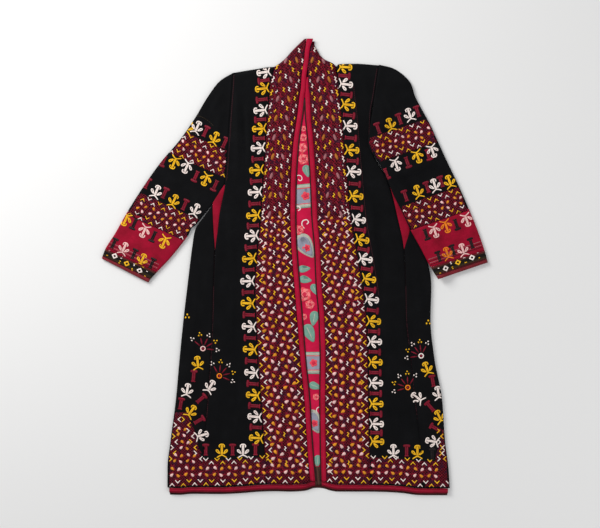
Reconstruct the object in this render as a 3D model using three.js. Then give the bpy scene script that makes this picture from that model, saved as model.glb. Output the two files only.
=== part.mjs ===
// A long open-fronted gown, laid flat on its back, in millimetres.
// X runs from the sleeve at the left to the sleeve at the right, Y from the hem to the neck, Z up from
// the surface. The origin is under the middle of the garment. Every piece is a wall of cloth: a row of
// sections, each with an outer and an inner run of points, joined one to the next.

import * as THREE from 'three';
import { mergeVertices } from 'three/addons/utils/BufferGeometryUtils.js';

const clothWall = 1.8;        // ground cloth with its lining
const liningWall = 1.2;
const seamGap = 0.3;
const layerGap = 0.3;
const braidWidth = 12;        // the crimson edging
const braidHeight = 2.6;
const frontLevel = 5.4;       // top of the front cloth along the opening
const sideLevel = 7.4;        // top of the front cloth at the side folds
const levelRun = 110;         // width over which the front rises from one level to the other
const shoulderRoll = 12;      // how far the cloth rounds over at the shoulders
const neckRoll = 14;          // and at the free fold of the neckband
const sleeveHeight = 7.4;
const foldSteps = 4;          // segments round a fold
const sleeveRun = 9;          // points across the flat of a sleeve
const foldEase = 22;          // over this width from its edges a piece lies without folds
const foldFade = 0.3;         // share of its length over which a fold rises and sinks
const foldSkirt = 1.6;        // and how far its foot spreads, as a share of its half width
const goreSteps = 5;          // points across the front of a gore
const roundShare = 0.45;      // its side fold takes at most this share of its width
const rowSpacing = 52;
const freeSpacing = 8;        // rows of the neckband above the shoulders
const hemSpacing = 26;
const frontColumns = 8;
const gussetColumns = 3;
const hemStart = -430;        // below this the rows turn to follow the hem
const shoulderStart = 400;    // above this they turn to follow the shoulders
const lastRow = -545;
const firstRow = 500;
const chest = 130;            // top of the embroidered strips
const rollStart = 470;        // above this the neckband rolls over to the back
const rollRun = 30;
const flareStart = 550;       // above this the edging widens to the peak
const flareRun = 16;
const hemPeek = 6;            // the back hem shows this much below the front
const hemSlack = 1.7;
const clothHem = hemPeek + braidWidth + seamGap + hemSlack;   // the cloth stops this far above the hem

// The right sleeve lies over the body: it rises where it nears the side, below the shoulder.
const overBody = { rise: sideLevel + layerGap + 0.8, past: 60, across: 34, from: 424, down: 80 };

// Edges of the pieces on either side, as X at a height Y.
const left = [
  { y: 500, edge: 26, band: -52, armhole: -153.5, seam: -153.5, side: -153.5 },
  { y: 450, edge: 26, band: -62, armhole: -156, seam: -156, side: -156 },
  { y: 430, edge: 19, band: -63, armhole: -157.5, seam: -157.5, side: -157.5 },
  { y: 380, edge: 12, band: -67, armhole: -161, seam: -161, side: -161 },
  { y: 305, edge: 2, band: -72, armhole: -166, seam: -166, side: -166 },
  { y: 205, edge: -4, band: -79, armhole: -174, seam: -174, side: -174 },
  { y: 130, edge: -5, band: -84, armhole: -188, seam: -188, side: -224 },
  { y: 93, edge: -4, band: -87, armhole: -192, seam: -193, side: -249 },
  { y: 45, edge: -2, band: -92, armhole: -198, seam: -199, side: -257 },
  { y: -45, edge: 5, band: -99, armhole: -202, seam: -202, side: -268 },
  { y: -130, edge: 12, band: -96, armhole: -204, seam: -204, side: -278 },
  { y: -230, edge: 20, band: -91, armhole: -209, seam: -209, side: -288 },
  { y: -330, edge: 30, band: -84, armhole: -216, seam: -216, side: -297 },
  { y: -430, edge: 36, band: -77, armhole: -224, seam: -224, side: -310 },
  { y: -500, edge: 41, band: -72, armhole: -230, seam: -230, side: -318 },
  { y: -545, edge: 45, band: -69, armhole: -234, seam: -234, side: -318 },
];
const right = [
  { y: 500, edge: 26.3, band: 103, armhole: 209, seam: 209, side: 209 },
  { y: 450, edge: 26.3, band: 109, armhole: 201, seam: 201, side: 201 },
  { y: 430, edge: 32, band: 111, armhole: 198, seam: 198, side: 198 },
  { y: 380, edge: 34, band: 117, armhole: 190, seam: 190, side: 190 },
  { y: 305, edge: 41, band: 123, armhole: 188, seam: 188, side: 188 },
  { y: 205, edge: 47, band: 132, armhole: 236, seam: 236, side: 236 },
  { y: 130, edge: 50, band: 139, armhole: 255, seam: 255, side: 292 },
  { y: 45, edge: 57, band: 153, armhole: 272, seam: 273, side: 323 },
  { y: -45, edge: 61, band: 168, armhole: 277, seam: 277, side: 341 },
  { y: -130, edge: 68, band: 178, armhole: 279, seam: 279, side: 339 },
  { y: -230, edge: 71, band: 182, armhole: 290, seam: 290, side: 349 },
  { y: -330, edge: 70, band: 184, armhole: 300, seam: 300, side: 368 },
  { y: -430, edge: 71, band: 186, armhole: 312, seam: 312, side: 375 },
  { y: -500, edge: 72, band: 188, armhole: 317, seam: 317, side: 384 },
  { y: -545, edge: 73, band: 188, armhole: 321, seam: 321, side: 387 },
];

// The gussets lie between the gores and the front: their edge on the gore, at a height Y.
const gussets = {
  left: [{ y: 205, far: -176.5 }, { y: 155, far: -205 }, { y: 108, far: -203.5 }, { y: 45, far: -199 }],
  right: [{ y: 205, far: 239.5 }, { y: 155, far: 272 }, { y: 108, far: 289 }, { y: 45, far: 273 }],
};

// The lowest edge of the garment, and the fold of the shoulders, as Y at a place X.
const hemLine = [
  { x: -318, y: -568 }, { x: -287, y: -569 }, { x: -259, y: -566.5 }, { x: -187, y: -567 },
  { x: -137, y: -565 }, { x: -87, y: -561 }, { x: -49, y: -560 }, { x: -12, y: -561 },
  { x: 13, y: -560 }, { x: 28, y: -558.5 }, { x: 38, y: -555 }, { x: 50, y: -551.5 },
  { x: 64, y: -551.5 }, { x: 76, y: -554 }, { x: 88, y: -558 }, { x: 108, y: -561 },
  { x: 178, y: -561 }, { x: 228, y: -562 }, { x: 268, y: -564.5 }, { x: 308, y: -569.5 },
  { x: 343, y: -570 }, { x: 387, y: -570 },
];
const shoulderLine = [
  { x: -160, y: 484 }, { x: -94, y: 495 }, { x: -56, y: 500 }, { x: 103, y: 500 },
  { x: 110, y: 507 }, { x: 150, y: 508 }, { x: 210, y: 504 },
];

// The neckband above the shoulders: its fold over to the back, and its edge, at a height Y.
const neckLeft = [
  { y: 500, fold: -52, edge: 26 }, { y: 506, fold: -42, edge: 27 }, { y: 518, fold: -27, edge: 29 },
  { y: 540, fold: -7, edge: 31 }, { y: 556, fold: 9, edge: 34 }, { y: 570, fold: 24, edge: 38 },
];
const neckRight = [
  { y: 500, fold: 103, edge: 26.3 }, { y: 508, fold: 97, edge: 28 }, { y: 518, fold: 76, edge: 30 },
  { y: 528, fold: 64, edge: 31 }, { y: 540, fold: 58, edge: 32 }, { y: 553, fold: 56, edge: 35 },
];

// The sleeves, as chords from the outer fold to the underarm fold, from the armhole to the wrist.
const sleeveLeft = [
  { outX: -154, outY: 488, inX: -175, inY: 208, part: 'upper' },
  { outX: -187, outY: 465, inX: -205, inY: 158, part: 'upper' },
  { outX: -219, outY: 423, inX: -229, inY: 128, part: 'upper' },
  { outX: -247, outY: 376, inX: -247, inY: 106, part: 'upper' },
  { outX: -287, outY: 318, inX: -258, inY: 97, part: 'upper' },
  { outX: -334, outY: 263, inX: -261, inY: 91, part: 'upper' },
  { outX: -379, outY: 200, inX: -264, inY: 84, part: 'upper' },
  { outX: -417, outY: 140, inX: -268, inY: 77, part: 'lower' },
  { outX: -449, outY: 84, inX: -310, inY: 24, part: 'lower' },
  { outX: -473, outY: 46, inX: -344, inY: -12, part: 'cuff' },
  { outX: -480, outY: 28, inX: -360, inY: -30, part: 'piping' },
  { outX: -482, outY: 22, inX: -366, inY: -38, part: 'end' },
];
const sleeveRight = [
  { outX: 214, outY: 505, inX: 184, inY: 311, part: 'upper' },
  { outX: 242, outY: 498, inX: 185, inY: 299, part: 'upper' },
  { outX: 271, outY: 480, inX: 191, inY: 288, part: 'upper' },
  { outX: 291, outY: 456, inX: 198, inY: 276, part: 'upper' },
  { outX: 300, outY: 428, inX: 206, inY: 264, part: 'upper' },
  { outX: 316, outY: 396, inX: 216, inY: 248, part: 'upper' },
  { outX: 338, outY: 356, inX: 226, inY: 228, part: 'upper' },
  { outX: 358, outY: 312, inX: 236, inY: 203, part: 'upper' },
  { outX: 382, outY: 260, inX: 248, inY: 175, part: 'upper' },
  { outX: 408, outY: 206, inX: 266, inY: 140, part: 'upper' },
  { outX: 434, outY: 147, inX: 288, inY: 93, part: 'lower' },
  { outX: 456, outY: 93, inX: 313, inY: 48, part: 'lower' },
  { outX: 474, outY: 41, inX: 338, inY: 0, part: 'cuff' },
  { outX: 480, outY: 20, inX: 352, inY: -22, part: 'piping' },
  { outX: 482, outY: 12, inX: 357, inY: -30, part: 'end' },
];

// Soft folds of the cloth, as ridges from one place to another.
const folds = [
  { fromX: -146, fromY: 450, toX: -128, toY: 180, half: 17, rise: 3.4 },
  { fromX: -120, fromY: 430, toX: -112, toY: 250, half: 12, rise: 2.2 },
  { fromX: -190, fromY: 100, toX: -232, toY: -150, half: 20, rise: 2.6 },
  { fromX: -160, fromY: -60, toX: -182, toY: -420, half: 24, rise: 3.0 },
  { fromX: -262, fromY: -180, toX: -276, toY: -480, half: 16, rise: 2.2 },
  { fromX: 148, fromY: 420, toX: 176, toY: 190, half: 13, rise: 2.8 },
  { fromX: 186, fromY: 150, toX: 210, toY: -60, half: 14, rise: 3.0 },
  { fromX: 240, fromY: 60, toX: 250, toY: -190, half: 22, rise: 2.6 },
  { fromX: 226, fromY: -240, toX: 236, toY: -470, half: 20, rise: 3.0 },
  { fromX: 318, fromY: -120, toX: 342, toY: -460, half: 18, rise: 2.6 },
  { fromX: -230, fromY: 400, toX: -330, toY: 230, half: 20, rise: 2.4 },
  { fromX: -350, fromY: 190, toX: -282, toY: 150, half: 13, rise: 2.0 },
  { fromX: 238, fromY: 222, toX: 366, toY: 268, half: 11, rise: 2.8 },
  { fromX: 250, fromY: 440, toX: 300, toY: 330, half: 16, rise: 2.4 },
  { fromX: 330, fromY: 80, toX: 430, toY: 110, half: 14, rise: 1.8 },
];
const collarRise = { x: 30, y: 525, radius: 110, rise: 5.5 };   // the stiff neckband stands a little

function smooth(value) {
  const t = Math.min(Math.max(value, 0), 1);
  return t * t * (3 - 2 * t);
}

// Value of a column at a place along a table, eased between its rows.
function along(table, key, column, place) {
  const rising = table[0][key] < table[table.length - 1][key];
  const rows = rising ? table : [...table].reverse();
  if (place <= rows[0][key]) return rows[0][column];
  for (let i = 1; i < rows.length; i += 1) {
    const low = rows[i - 1];
    const high = rows[i];
    if (place <= high[key]) {
      const t = (place - low[key]) / (high[key] - low[key]);
      return low[column] + (high[column] - low[column]) * t;
    }
  }
  return rows[rows.length - 1][column];
}

const hemAt = (x) => along(hemLine, 'x', 'y', x);
const shoulderAt = (x) => along(shoulderLine, 'x', 'y', x);

// Height that the folds add at a place.
function relief(x, y) {
  let height = 0;
  for (const fold of folds) {
    const dx = fold.toX - fold.fromX;
    const dy = fold.toY - fold.fromY;
    const length = Math.hypot(dx, dy);
    const run = ((x - fold.fromX) * dx + (y - fold.fromY) * dy) / length;
    const off = Math.abs((x - fold.fromX) * dy - (y - fold.fromY) * dx) / length;
    const fade = smooth(run / (length * foldFade)) * smooth((length - run) / (length * foldFade));
    height = Math.max(height, fold.rise * fade * smooth(1 - off / (fold.half * foldSkirt)));
  }
  const reach = Math.hypot(x - collarRise.x, y - collarRise.y) / collarRise.radius;
  return height + collarRise.rise * smooth(1 - reach);
}

// Closed body from sections. Each section has outer and inner points, one for one.
// A ring joins its last points to its first; a strip has two long edges.
function wallLoft(sections, ring = false) {
  const count = sections[0].outer.length;
  const positions = [];
  for (const section of sections) {
    for (const point of [...section.outer, ...section.inner]) positions.push(...point);
  }
  const rowSize = count * 2;
  const outer = (row, i) => row * rowSize + (i % count);
  const inner = (row, i) => row * rowSize + count + (i % count);
  const index = [];
  const quad = (a, b, c, d) => index.push(a, b, c, a, c, d);
  const spans = ring ? count : count - 1;
  for (let row = 0; row < sections.length - 1; row += 1) {
    for (let i = 0; i < spans; i += 1) {
      quad(outer(row, i), outer(row, i + 1), outer(row + 1, i + 1), outer(row + 1, i));
      quad(inner(row, i + 1), inner(row, i), inner(row + 1, i), inner(row + 1, i + 1));
    }
    if (!ring) {
      const end = count - 1;
      quad(inner(row, 0), outer(row, 0), outer(row + 1, 0), inner(row + 1, 0));
      quad(outer(row, end), inner(row, end), inner(row + 1, end), outer(row + 1, end));
    }
  }
  const last = sections.length - 1;
  for (let i = 0; i < spans; i += 1) {
    quad(inner(0, i), inner(0, i + 1), outer(0, i + 1), outer(0, i));
    quad(outer(last, i), outer(last, i + 1), inner(last, i + 1), inner(last, i));
  }
  const raw = new THREE.BufferGeometry();
  raw.setAttribute('position', new THREE.Float32BufferAttribute(positions, 3));
  raw.setIndex(index);
  const geometry = mergeVertices(raw, 1e-3);
  if (signedVolume(geometry) < 0) flip(geometry);
  geometry.computeVertexNormals();
  return geometry;
}

function signedVolume(geometry) {
  const p = geometry.attributes.position;
  const a = new THREE.Vector3();
  const b = new THREE.Vector3();
  const c = new THREE.Vector3();
  let volume = 0;
  for (let i = 0; i < geometry.index.count; i += 3) {
    a.fromBufferAttribute(p, geometry.index.getX(i));
    b.fromBufferAttribute(p, geometry.index.getX(i + 1));
    c.fromBufferAttribute(p, geometry.index.getX(i + 2));
    volume += a.dot(b.cross(c)) / 6;
  }
  return volume;
}

function flip(geometry) {
  const index = geometry.index;
  for (let i = 0; i < index.count; i += 3) {
    const kept = index.getX(i + 1);
    index.setX(i + 1, index.getX(i + 2));
    index.setX(i + 2, kept);
  }
}

// Level of the front: low along the opening, higher to the sides.
const levelAt = (x, edgeX) => frontLevel + (sideLevel - frontLevel) * smooth(Math.abs(x - edgeX) / levelRun);

// Top of the front cloth where it turns down to a fold; roll is 0 at the fold and 1 away from it.
function foldedTop(x, y, edgeX, roll) {
  const folded = clothWall * 2 + layerGap;
  return folded + (levelAt(x, edgeX) + relief(x, y) - folded) * roll;
}

// Part of a quarter round, from 0 at its edge to 1 at its reach.
function quarterRound(distance, reach) {
  const t = Math.min(Math.max(distance, 0) / reach, 1);
  return Math.sqrt(1 - (1 - t) ** 2);
}

// Rows of a body piece turn to follow the hem and the shoulder.
function placed(x, y, hemMargin) {
  if (y < hemStart) {
    const bottom = hemAt(x) + hemMargin;
    return hemStart + ((y - hemStart) * (bottom - hemStart)) / (lastRow - hemStart);
  }
  if (y > shoulderStart) {
    const top = shoulderAt(x);
    return shoulderStart + ((y - shoulderStart) * (top - shoulderStart)) / (firstRow - shoulderStart);
  }
  return y;
}

function rowsBetween(high, low, spacing) {
  const count = Math.max(1, Math.round(Math.abs(high - low) / spacing));
  return Array.from({ length: count + 1 }, (_, i) => high + ((low - high) * i) / count);
}

// Rows that every body piece shares, so that neighbours meet along the same lines.
const sharedRows = (() => {
  const heights = [...left, ...right, ...gussets.left, ...gussets.right].map((row) => row.y);
  const kept = [...new Set(heights)].sort((a, b) => b - a);
  const lowest = kept[kept.length - 1];
  const rows = kept.slice(0, -1).flatMap((y, i) => rowsBetween(y, kept[i + 1], rowSpacing).slice(0, -1));
  return [...rows, lowest];
})();

function bodyRows(high, low) {
  return [high, ...sharedRows.filter((y) => y < high - 1 && y > low + 1), low];
}

// A front piece: a wall between two edges, over the rows given.
function frontPiece({ from, to, rows, columns, edgeX }) {
  const sections = rows.map((row) => {
    const outer = [];
    const inner = [];
    for (let i = 0; i <= columns; i += 1) {
      const x = from(row) + ((to(row) - from(row)) * i) / columns;
      const y = placed(x, row, clothHem);
      const top = foldedTop(x, y, edgeX(row), quarterRound(shoulderAt(x) - y, shoulderRoll));
      outer.push([x, y, top]);
      inner.push([x, y, top - clothWall]);
    }
    return { outer, inner };
  });
  return wallLoft(sections);
}

// A flat piece that lies at one height.
function flatPiece({ from, to, rows, columns, bottom, wall, margin = clothHem, follow = true }) {
  const sections = rows.map((row) => {
    const outer = [];
    const inner = [];
    for (let i = 0; i <= columns; i += 1) {
      const x = from(row) + ((to(row) - from(row)) * i) / columns;
      const y = follow ? placed(x, row, margin) : row;
      outer.push([x, y, bottom + wall]);
      inner.push([x, y, bottom]);
    }
    return { outer, inner };
  });
  return wallLoft(sections);
}

const column = (table, name, shift = 0) => (y) => along(table, 'y', name, y) + shift;
const halfBraid = braidWidth / 2 + seamGap;
const halfSeam = seamGap / 2;

// Front strips below the chest, and the plain panels beside them.
function frontStrip(side, sign) {
  return frontPiece({
    from: column(side, 'edge', sign * halfBraid),
    to: column(side, 'band', -sign * halfSeam),
    rows: bodyRows(chest - halfSeam, lastRow),
    columns: frontColumns - 1,
    edgeX: column(side, 'edge'),
  });
}

function frontPanel(side, sign) {
  return frontPiece({
    from: column(side, 'band', sign * halfSeam),
    to: column(side, 'armhole', -sign * halfSeam),
    rows: bodyRows(firstRow, lastRow),
    columns: frontColumns,
    edgeX: column(side, 'edge'),
  });
}

// Rows of the neckband above the shoulder, from its peak down.
function freeRows(table) {
  const heights = [...table].reverse().map((row) => row.y);
  return heights.slice(0, -1)
    .map((y, i) => [y, i === heights.length - 2 ? firstRow + 1 : heights[i + 1]])
    .flatMap(([y, next]) => rowsBetween(y, next, freeSpacing).slice(0, -1));
}

// Width of the edging: it flares where it is folded at the peak.
function edgeWidth(row, peakWidth) {
  return braidWidth + (peakWidth - braidWidth) * smooth((row - flareStart) / flareRun);
}

// The neckband halves: they rise towards the peak, and roll over to the back along their fold.
function neckband(side, table, sign, peakWidth) {
  const rows = [...freeRows(table), ...bodyRows(firstRow, chest + halfSeam)];
  const sections = rows.map((row) => {
    const above = row > firstRow;
    const braidHalf = edgeWidth(row, peakWidth) / 2 + seamGap;
    const edge = along(above ? table : side, 'y', 'edge', row) + sign * braidHalf;
    const fold = along(above ? table : side, 'y', above ? 'fold' : 'band', row) - sign * halfSeam;
    const freed = smooth((row - rollStart) / rollRun);
    const outer = [];
    const inner = [];
    for (let i = 0; i <= frontColumns; i += 1) {
      const x = edge + ((fold - edge) * i) / frontColumns;
      const y = above ? row : placed(x, row, clothHem);
      const roll = 1 - freed * (1 - quarterRound(Math.abs(x - fold), neckRoll));
      const top = foldedTop(x, y, edge, roll);
      outer.push([x, y, top]);
      inner.push([x, y, top - clothWall]);
    }
    return { outer, inner };
  });
  return wallLoft(sections);
}

// A gore wraps round the side fold: front run, round of the fold, back run.
function gore(side, gussetRows, sign, top) {
  const sections = bodyRows(top, lastRow).map((row) => {
    const backSeam = along(side, 'y', 'seam', row) + sign * halfSeam;
    const besideGusset = row >= gussetRows[gussetRows.length - 1].y;
    const seam = besideGusset ? along(gussetRows, 'y', 'far', row) + sign * halfSeam : backSeam;
    const edge = along(side, 'y', 'side', row);
    const width = Math.abs(edge - seam);
    const backWidth = Math.abs(edge - backSeam);
    const radius = Math.min(sideLevel / 2, width * roundShare);
    const path = [];
    for (let i = 0; i <= goreSteps; i += 1) {
      const s = ((width - radius) * i) / goreSteps;
      const ride = relief(seam + sign * s, row) * smooth((width - s) / foldEase);
      path.push({ s, z: sideLevel, nx: 0, nz: 1, ride });
    }
    for (let i = 1; i < foldSteps; i += 1) {
      const turn = (Math.PI * i) / foldSteps;
      const nx = Math.sin(turn);
      const nz = Math.cos(turn);
      path.push({ s: width - radius + radius * nx, z: (sideLevel / 2) * (1 + nz), nx, nz, ride: 0 });
    }
    for (let i = 0; i <= 2; i += 1) {
      const s = width - radius - ((backWidth - radius) * i) / 2;
      path.push({ s, z: 0, nx: 0, nz: -1, ride: 0 });
    }
    const point = (p, depth) => {
      const x = seam + sign * (p.s - p.nx * depth);
      return [x, placed(x, row, clothHem), p.z + p.ride - p.nz * depth];
    };
    return { outer: path.map((p) => point(p, 0)), inner: path.map((p) => point(p, clothWall)) };
  });
  return wallLoft(sections);
}

function gusset(side, table, sign) {
  const sections = bodyRows(table[0].y, table[table.length - 1].y).map((row) => {
    const near = along(side, 'y', 'armhole', row) + sign * halfSeam;
    const far = along(table, 'y', 'far', row) - sign * halfSeam;
    const outer = [];
    const inner = [];
    for (let i = 0; i <= gussetColumns; i += 1) {
      const x = near + ((far - near) * i) / gussetColumns;
      const top = sideLevel + relief(x, row);
      outer.push([x, row, top]);
      inner.push([x, row, top - clothWall]);
    }
    return { outer, inner };
  });
  return wallLoft(sections);
}

function groundRight(x, y) {
  const across = smooth((along(right, 'y', 'side', y) + overBody.past - x) / overBody.across);
  const down = smooth((overBody.from - y) / overBody.down);
  return overBody.rise * across * down;
}
const groundLeft = () => 0;

// Part of a sleeve: a flattened tube between two of its chords, open at both ends.
function sleevePart(table, first, last, ground) {
  const picked = [];
  for (let row = first; row < last; row += 1) {
    const steps = table[row].part === 'lower' ? 2 : 1;
    for (let k = 0; k < steps; k += 1) picked.push(row + k / steps);
  }
  picked.push(last);
  const radius = sleeveHeight / 2;
  const sections = picked.map((place) => {
    const low = Math.min(Math.floor(place), table.length - 2);
    const t = place - low;
    const mix = (name) => table[low][name] * (1 - t) + table[low + 1][name] * t;
    const start = new THREE.Vector2(mix('outX'), mix('outY'));
    const end = new THREE.Vector2(mix('inX'), mix('inY'));
    const length = start.distanceTo(end);
    const direction = end.clone().sub(start).divideScalar(length);
    const path = [];
    for (let i = 0; i < sleeveRun; i += 1) {
      path.push({ s: radius + ((length - 2 * radius) * i) / (sleeveRun - 1), nx: 0, nz: 1 });
    }
    for (let i = 1; i < foldSteps; i += 1) {
      const turn = (Math.PI * i) / foldSteps;
      path.push({ s: length - radius, nx: Math.sin(turn), nz: Math.cos(turn) });
    }
    for (let i = 0; i < sleeveRun; i += 1) {
      path.push({ s: length - radius - ((length - 2 * radius) * i) / (sleeveRun - 1), nx: 0, nz: -1 });
    }
    for (let i = 1; i < foldSteps; i += 1) {
      const turn = Math.PI + (Math.PI * i) / foldSteps;
      path.push({ s: radius, nx: Math.sin(turn), nz: Math.cos(turn) });
    }
    const point = (p, size) => {
      const s = p.s + p.nx * size;
      const x = start.x + direction.x * s;
      const y = start.y + direction.y * s;
      const eased = smooth(s / foldEase) * smooth((length - s) / foldEase);
      const bump = p.nz === 1 ? relief(x, y) * eased : 0;
      return [x, y, radius + p.nz * size + ground(x, y) + bump];
    };
    return { outer: path.map((p) => point(p, radius)), inner: path.map((p) => point(p, radius - clothWall)) };
  });
  return wallLoft(sections, true);
}

// Shifts the rows at a seam along the sleeve, so that two parts stay apart.
function parted(table) {
  const rows = [];
  for (let i = 0; i < table.length; i += 1) {
    rows.push(table[i]);
    if (i > 0 && i < table.length - 1 && table[i].part !== table[i - 1].part) {
      const next = table[i + 1];
      const reach = Math.hypot(next.outX - table[i].outX, next.outY - table[i].outY);
      const near = Math.hypot(next.inX - table[i].inX, next.inY - table[i].inY);
      rows.push({
        part: table[i].part,
        outX: table[i].outX + ((next.outX - table[i].outX) * seamGap) / reach,
        outY: table[i].outY + ((next.outY - table[i].outY) * seamGap) / reach,
        inX: table[i].inX + ((next.inX - table[i].inX) * seamGap) / near,
        inY: table[i].inY + ((next.inY - table[i].inY) * seamGap) / near,
      });
    }
  }
  return rows;
}

// A braid: a rounded strip that follows a line in plan, centred on it.
const braidSection = [
  { s: -1, top: 0.45, bottom: 0.1 }, { s: -0.7, top: 0.9, bottom: 0 }, { s: 0, top: 1, bottom: 0 },
  { s: 0.7, top: 0.9, bottom: 0 }, { s: 1, top: 0.45, bottom: 0.1 },
];
function braid(places, across, bottomAt, height) {
  const sections = places.map(({ x: midX, y: midY, width }) => {
    const outer = [];
    const inner = [];
    for (const p of braidSection) {
      const x = midX + (across === 'x' ? (p.s * width) / 2 : 0);
      const y = midY + (across === 'y' ? (p.s * width) / 2 : 0);
      const bottom = bottomAt(x, y);
      outer.push([x, y, bottom + height * p.top]);
      inner.push([x, y, bottom + height * p.bottom]);
    }
    return { outer, inner };
  });
  return wallLoft(sections);
}

// The braid of a front edge: from the peak, or from under the other front, down to the hem.
function edgeBraid(side, table, topY, peakWidth) {
  const free = topY > firstRow ? freeRows(table) : [];
  const rows = [...free, ...bodyRows(Math.min(topY, firstRow), lastRow)];
  const places = rows.map((row) => {
    const above = row > firstRow;
    const x = along(above ? table : side, 'y', 'edge', row);
    return { x, y: above ? row : placed(x, row, clothHem), width: edgeWidth(row, peakWidth) };
  });
  return braid(places, 'x', (x, y) => frontLevel - clothWall + relief(x, y), braidHeight);
}

function hemBraid(fromX, toX, margin, bottomAt, height) {
  const stops = [fromX, ...hemLine.map((row) => row.x).filter((x) => x > fromX + 2 && x < toX - 2), toX];
  const places = stops
    .flatMap((x, i) => (i === stops.length - 1 ? [x] : rowsBetween(x, stops[i + 1], hemSpacing).slice(0, -1)))
    .map((x) => ({ x, y: hemAt(x) + margin + braidWidth / 2, width: braidWidth }));
  return braid(places, 'y', bottomAt, height);
}

const cloth = {
  black: new THREE.MeshStandardMaterial({ color: 0x17181c, roughness: 0.85, metalness: 0 }),
  red: new THREE.MeshStandardMaterial({ color: 0xa5123a, roughness: 0.7, metalness: 0 }),
  worked: new THREE.MeshStandardMaterial({ color: 0x5a1426, roughness: 0.8, metalness: 0 }),
  print: new THREE.MeshStandardMaterial({ color: 0xb32846, roughness: 0.85, metalness: 0 }),
  braid: new THREE.MeshStandardMaterial({ color: 0xa3102c, roughness: 0.75, metalness: 0 }),
  stripe: new THREE.MeshStandardMaterial({ color: 0x6b4a34, roughness: 0.8, metalness: 0 }),
};

const gown = new THREE.Group();
gown.name = 'gown';

function add(name, geometry, material) {
  const mesh = new THREE.Mesh(geometry, material);
  mesh.name = name;
  gown.add(mesh);
}

// The back: flat on the surface between the seams of the gores.
add('back_panel', flatPiece({
  from: column(left, 'seam', halfSeam),
  to: column(right, 'seam', -halfSeam),
  rows: bodyRows(firstRow, lastRow),
  columns: 6,
  bottom: 0,
  wall: clothWall,
}), cloth.black);

const nape = { top: 564, bottom: 514, spacing: 12, rightFold: 50 };
add('back_neckband', flatPiece({
  from: (y) => along(neckLeft, 'y', 'fold', y) + 1,
  to: (y) => Math.max(along(neckRight, 'y', 'fold', y), nape.rightFold) - 1,
  rows: rowsBetween(nape.top, nape.bottom, nape.spacing),
  columns: 4,
  bottom: 0,
  wall: clothWall,
  follow: false,
}), cloth.worked);

const liningUnder = 16;       // the lining runs this far under the fronts
const liningTop = 440;
const facingTop = -499;
const facingEnd = -544;
const liningSpacing = 60;
const facingSpacing = 22;
const liningBottom = clothWall + layerGap;
add('back_lining', flatPiece({
  from: column(left, 'edge', -liningUnder),
  to: column(right, 'edge', liningUnder),
  rows: rowsBetween(liningTop, facingTop + seamGap, liningSpacing),
  columns: 4,
  bottom: liningBottom,
  wall: liningWall,
  follow: false,
}), cloth.print);
add('back_hem_facing', flatPiece({
  from: column(left, 'edge', -liningUnder),
  to: column(right, 'edge', liningUnder),
  rows: rowsBetween(facingTop, facingEnd, facingSpacing),
  columns: 4,
  bottom: liningBottom,
  wall: liningWall,
  follow: false,
}), cloth.stripe);

const hemInset = 5;           // the hem edging stops this far inside the side folds
const sleeveParts = [
  { name: 'sleeve_upper', stuff: cloth.black }, { name: 'sleeve_lower', stuff: cloth.red },
  { name: 'cuff_band', stuff: cloth.stripe }, { name: 'cuff_piping', stuff: cloth.braid },
];
const sides = [
  { name: 'left', table: left, neck: neckLeft, sleeve: parted(sleeveLeft), sign: -1, goreTop: 140,
    ground: groundLeft, braidTop: 570, peakWidth: 16 },
  { name: 'right', table: right, neck: neckRight, sleeve: parted(sleeveRight), sign: 1, goreTop: 118,
    ground: groundRight, braidTop: 426, peakWidth: braidWidth },
];

for (const side of sides) {
  const gussetRows = gussets[side.name];
  add(`front_strip_${side.name}`, frontStrip(side.table, side.sign), cloth.worked);
  add(`neckband_${side.name}`, neckband(side.table, side.neck, side.sign, side.peakWidth), cloth.worked);
  add(`front_panel_${side.name}`, frontPanel(side.table, side.sign), cloth.black);
  add(`side_gore_${side.name}`, gore(side.table, gussetRows, side.sign, side.goreTop), cloth.black);
  add(`gusset_${side.name}`, gusset(side.table, gussetRows, side.sign), cloth.red);

  const parts = [];
  for (let i = 0; i < side.sleeve.length; i += 1) {
    if (i === 0 || side.sleeve[i].part !== side.sleeve[i - 1].part) parts.push(i);
  }
  sleeveParts.forEach(({ name, stuff }, k) => {
    const start = k === 0 ? 0 : parts[k] + 1;
    add(`${name}_${side.name}`, sleevePart(side.sleeve, start, parts[k + 1], side.ground), stuff);
  });

  const frontEdging = edgeBraid(side.table, side.neck, side.braidTop, side.peakWidth);
  add(`front_edging_${side.name}`, frontEdging, cloth.braid);
  const openEnd = along(side.table, 'y', 'edge', lastRow) - side.sign * braidWidth / 2;
  const outerEnd = along(side.table, 'y', 'side', lastRow) - side.sign * hemInset;
  const frontHemBottom = (x) => levelAt(x, openEnd) - clothWall;
  add(`hem_edging_${side.name}`,
    hemBraid(Math.min(openEnd, outerEnd), Math.max(openEnd, outerEnd), hemPeek, frontHemBottom, braidHeight),
    cloth.braid);
}

const backInset = hemInset + 1;
const backHem = {
  from: along(left, 'y', 'side', lastRow) + backInset,
  to: along(right, 'y', 'side', lastRow) - backInset,
};
add('hem_edging_back', hemBraid(backHem.from, backHem.to, 0, () => 0, clothWall), cloth.braid);

export default gown;
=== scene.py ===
import math

import bpy
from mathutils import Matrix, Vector, noise


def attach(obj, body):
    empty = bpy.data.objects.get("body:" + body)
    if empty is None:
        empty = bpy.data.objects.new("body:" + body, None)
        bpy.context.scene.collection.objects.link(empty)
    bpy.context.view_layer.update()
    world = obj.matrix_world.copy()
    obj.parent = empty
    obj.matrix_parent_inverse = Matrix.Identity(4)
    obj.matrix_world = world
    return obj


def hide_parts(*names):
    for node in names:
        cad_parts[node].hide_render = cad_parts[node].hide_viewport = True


# A long gown laid flat on its back. Sizes below are in millimetres unless a name says otherwise.
# X runs across, Y from the hem to the neck, Z up. Cloth is rebuilt as fine shells on the packed
# solids, and the needlework is laid on it with Geometry Nodes.

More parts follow.
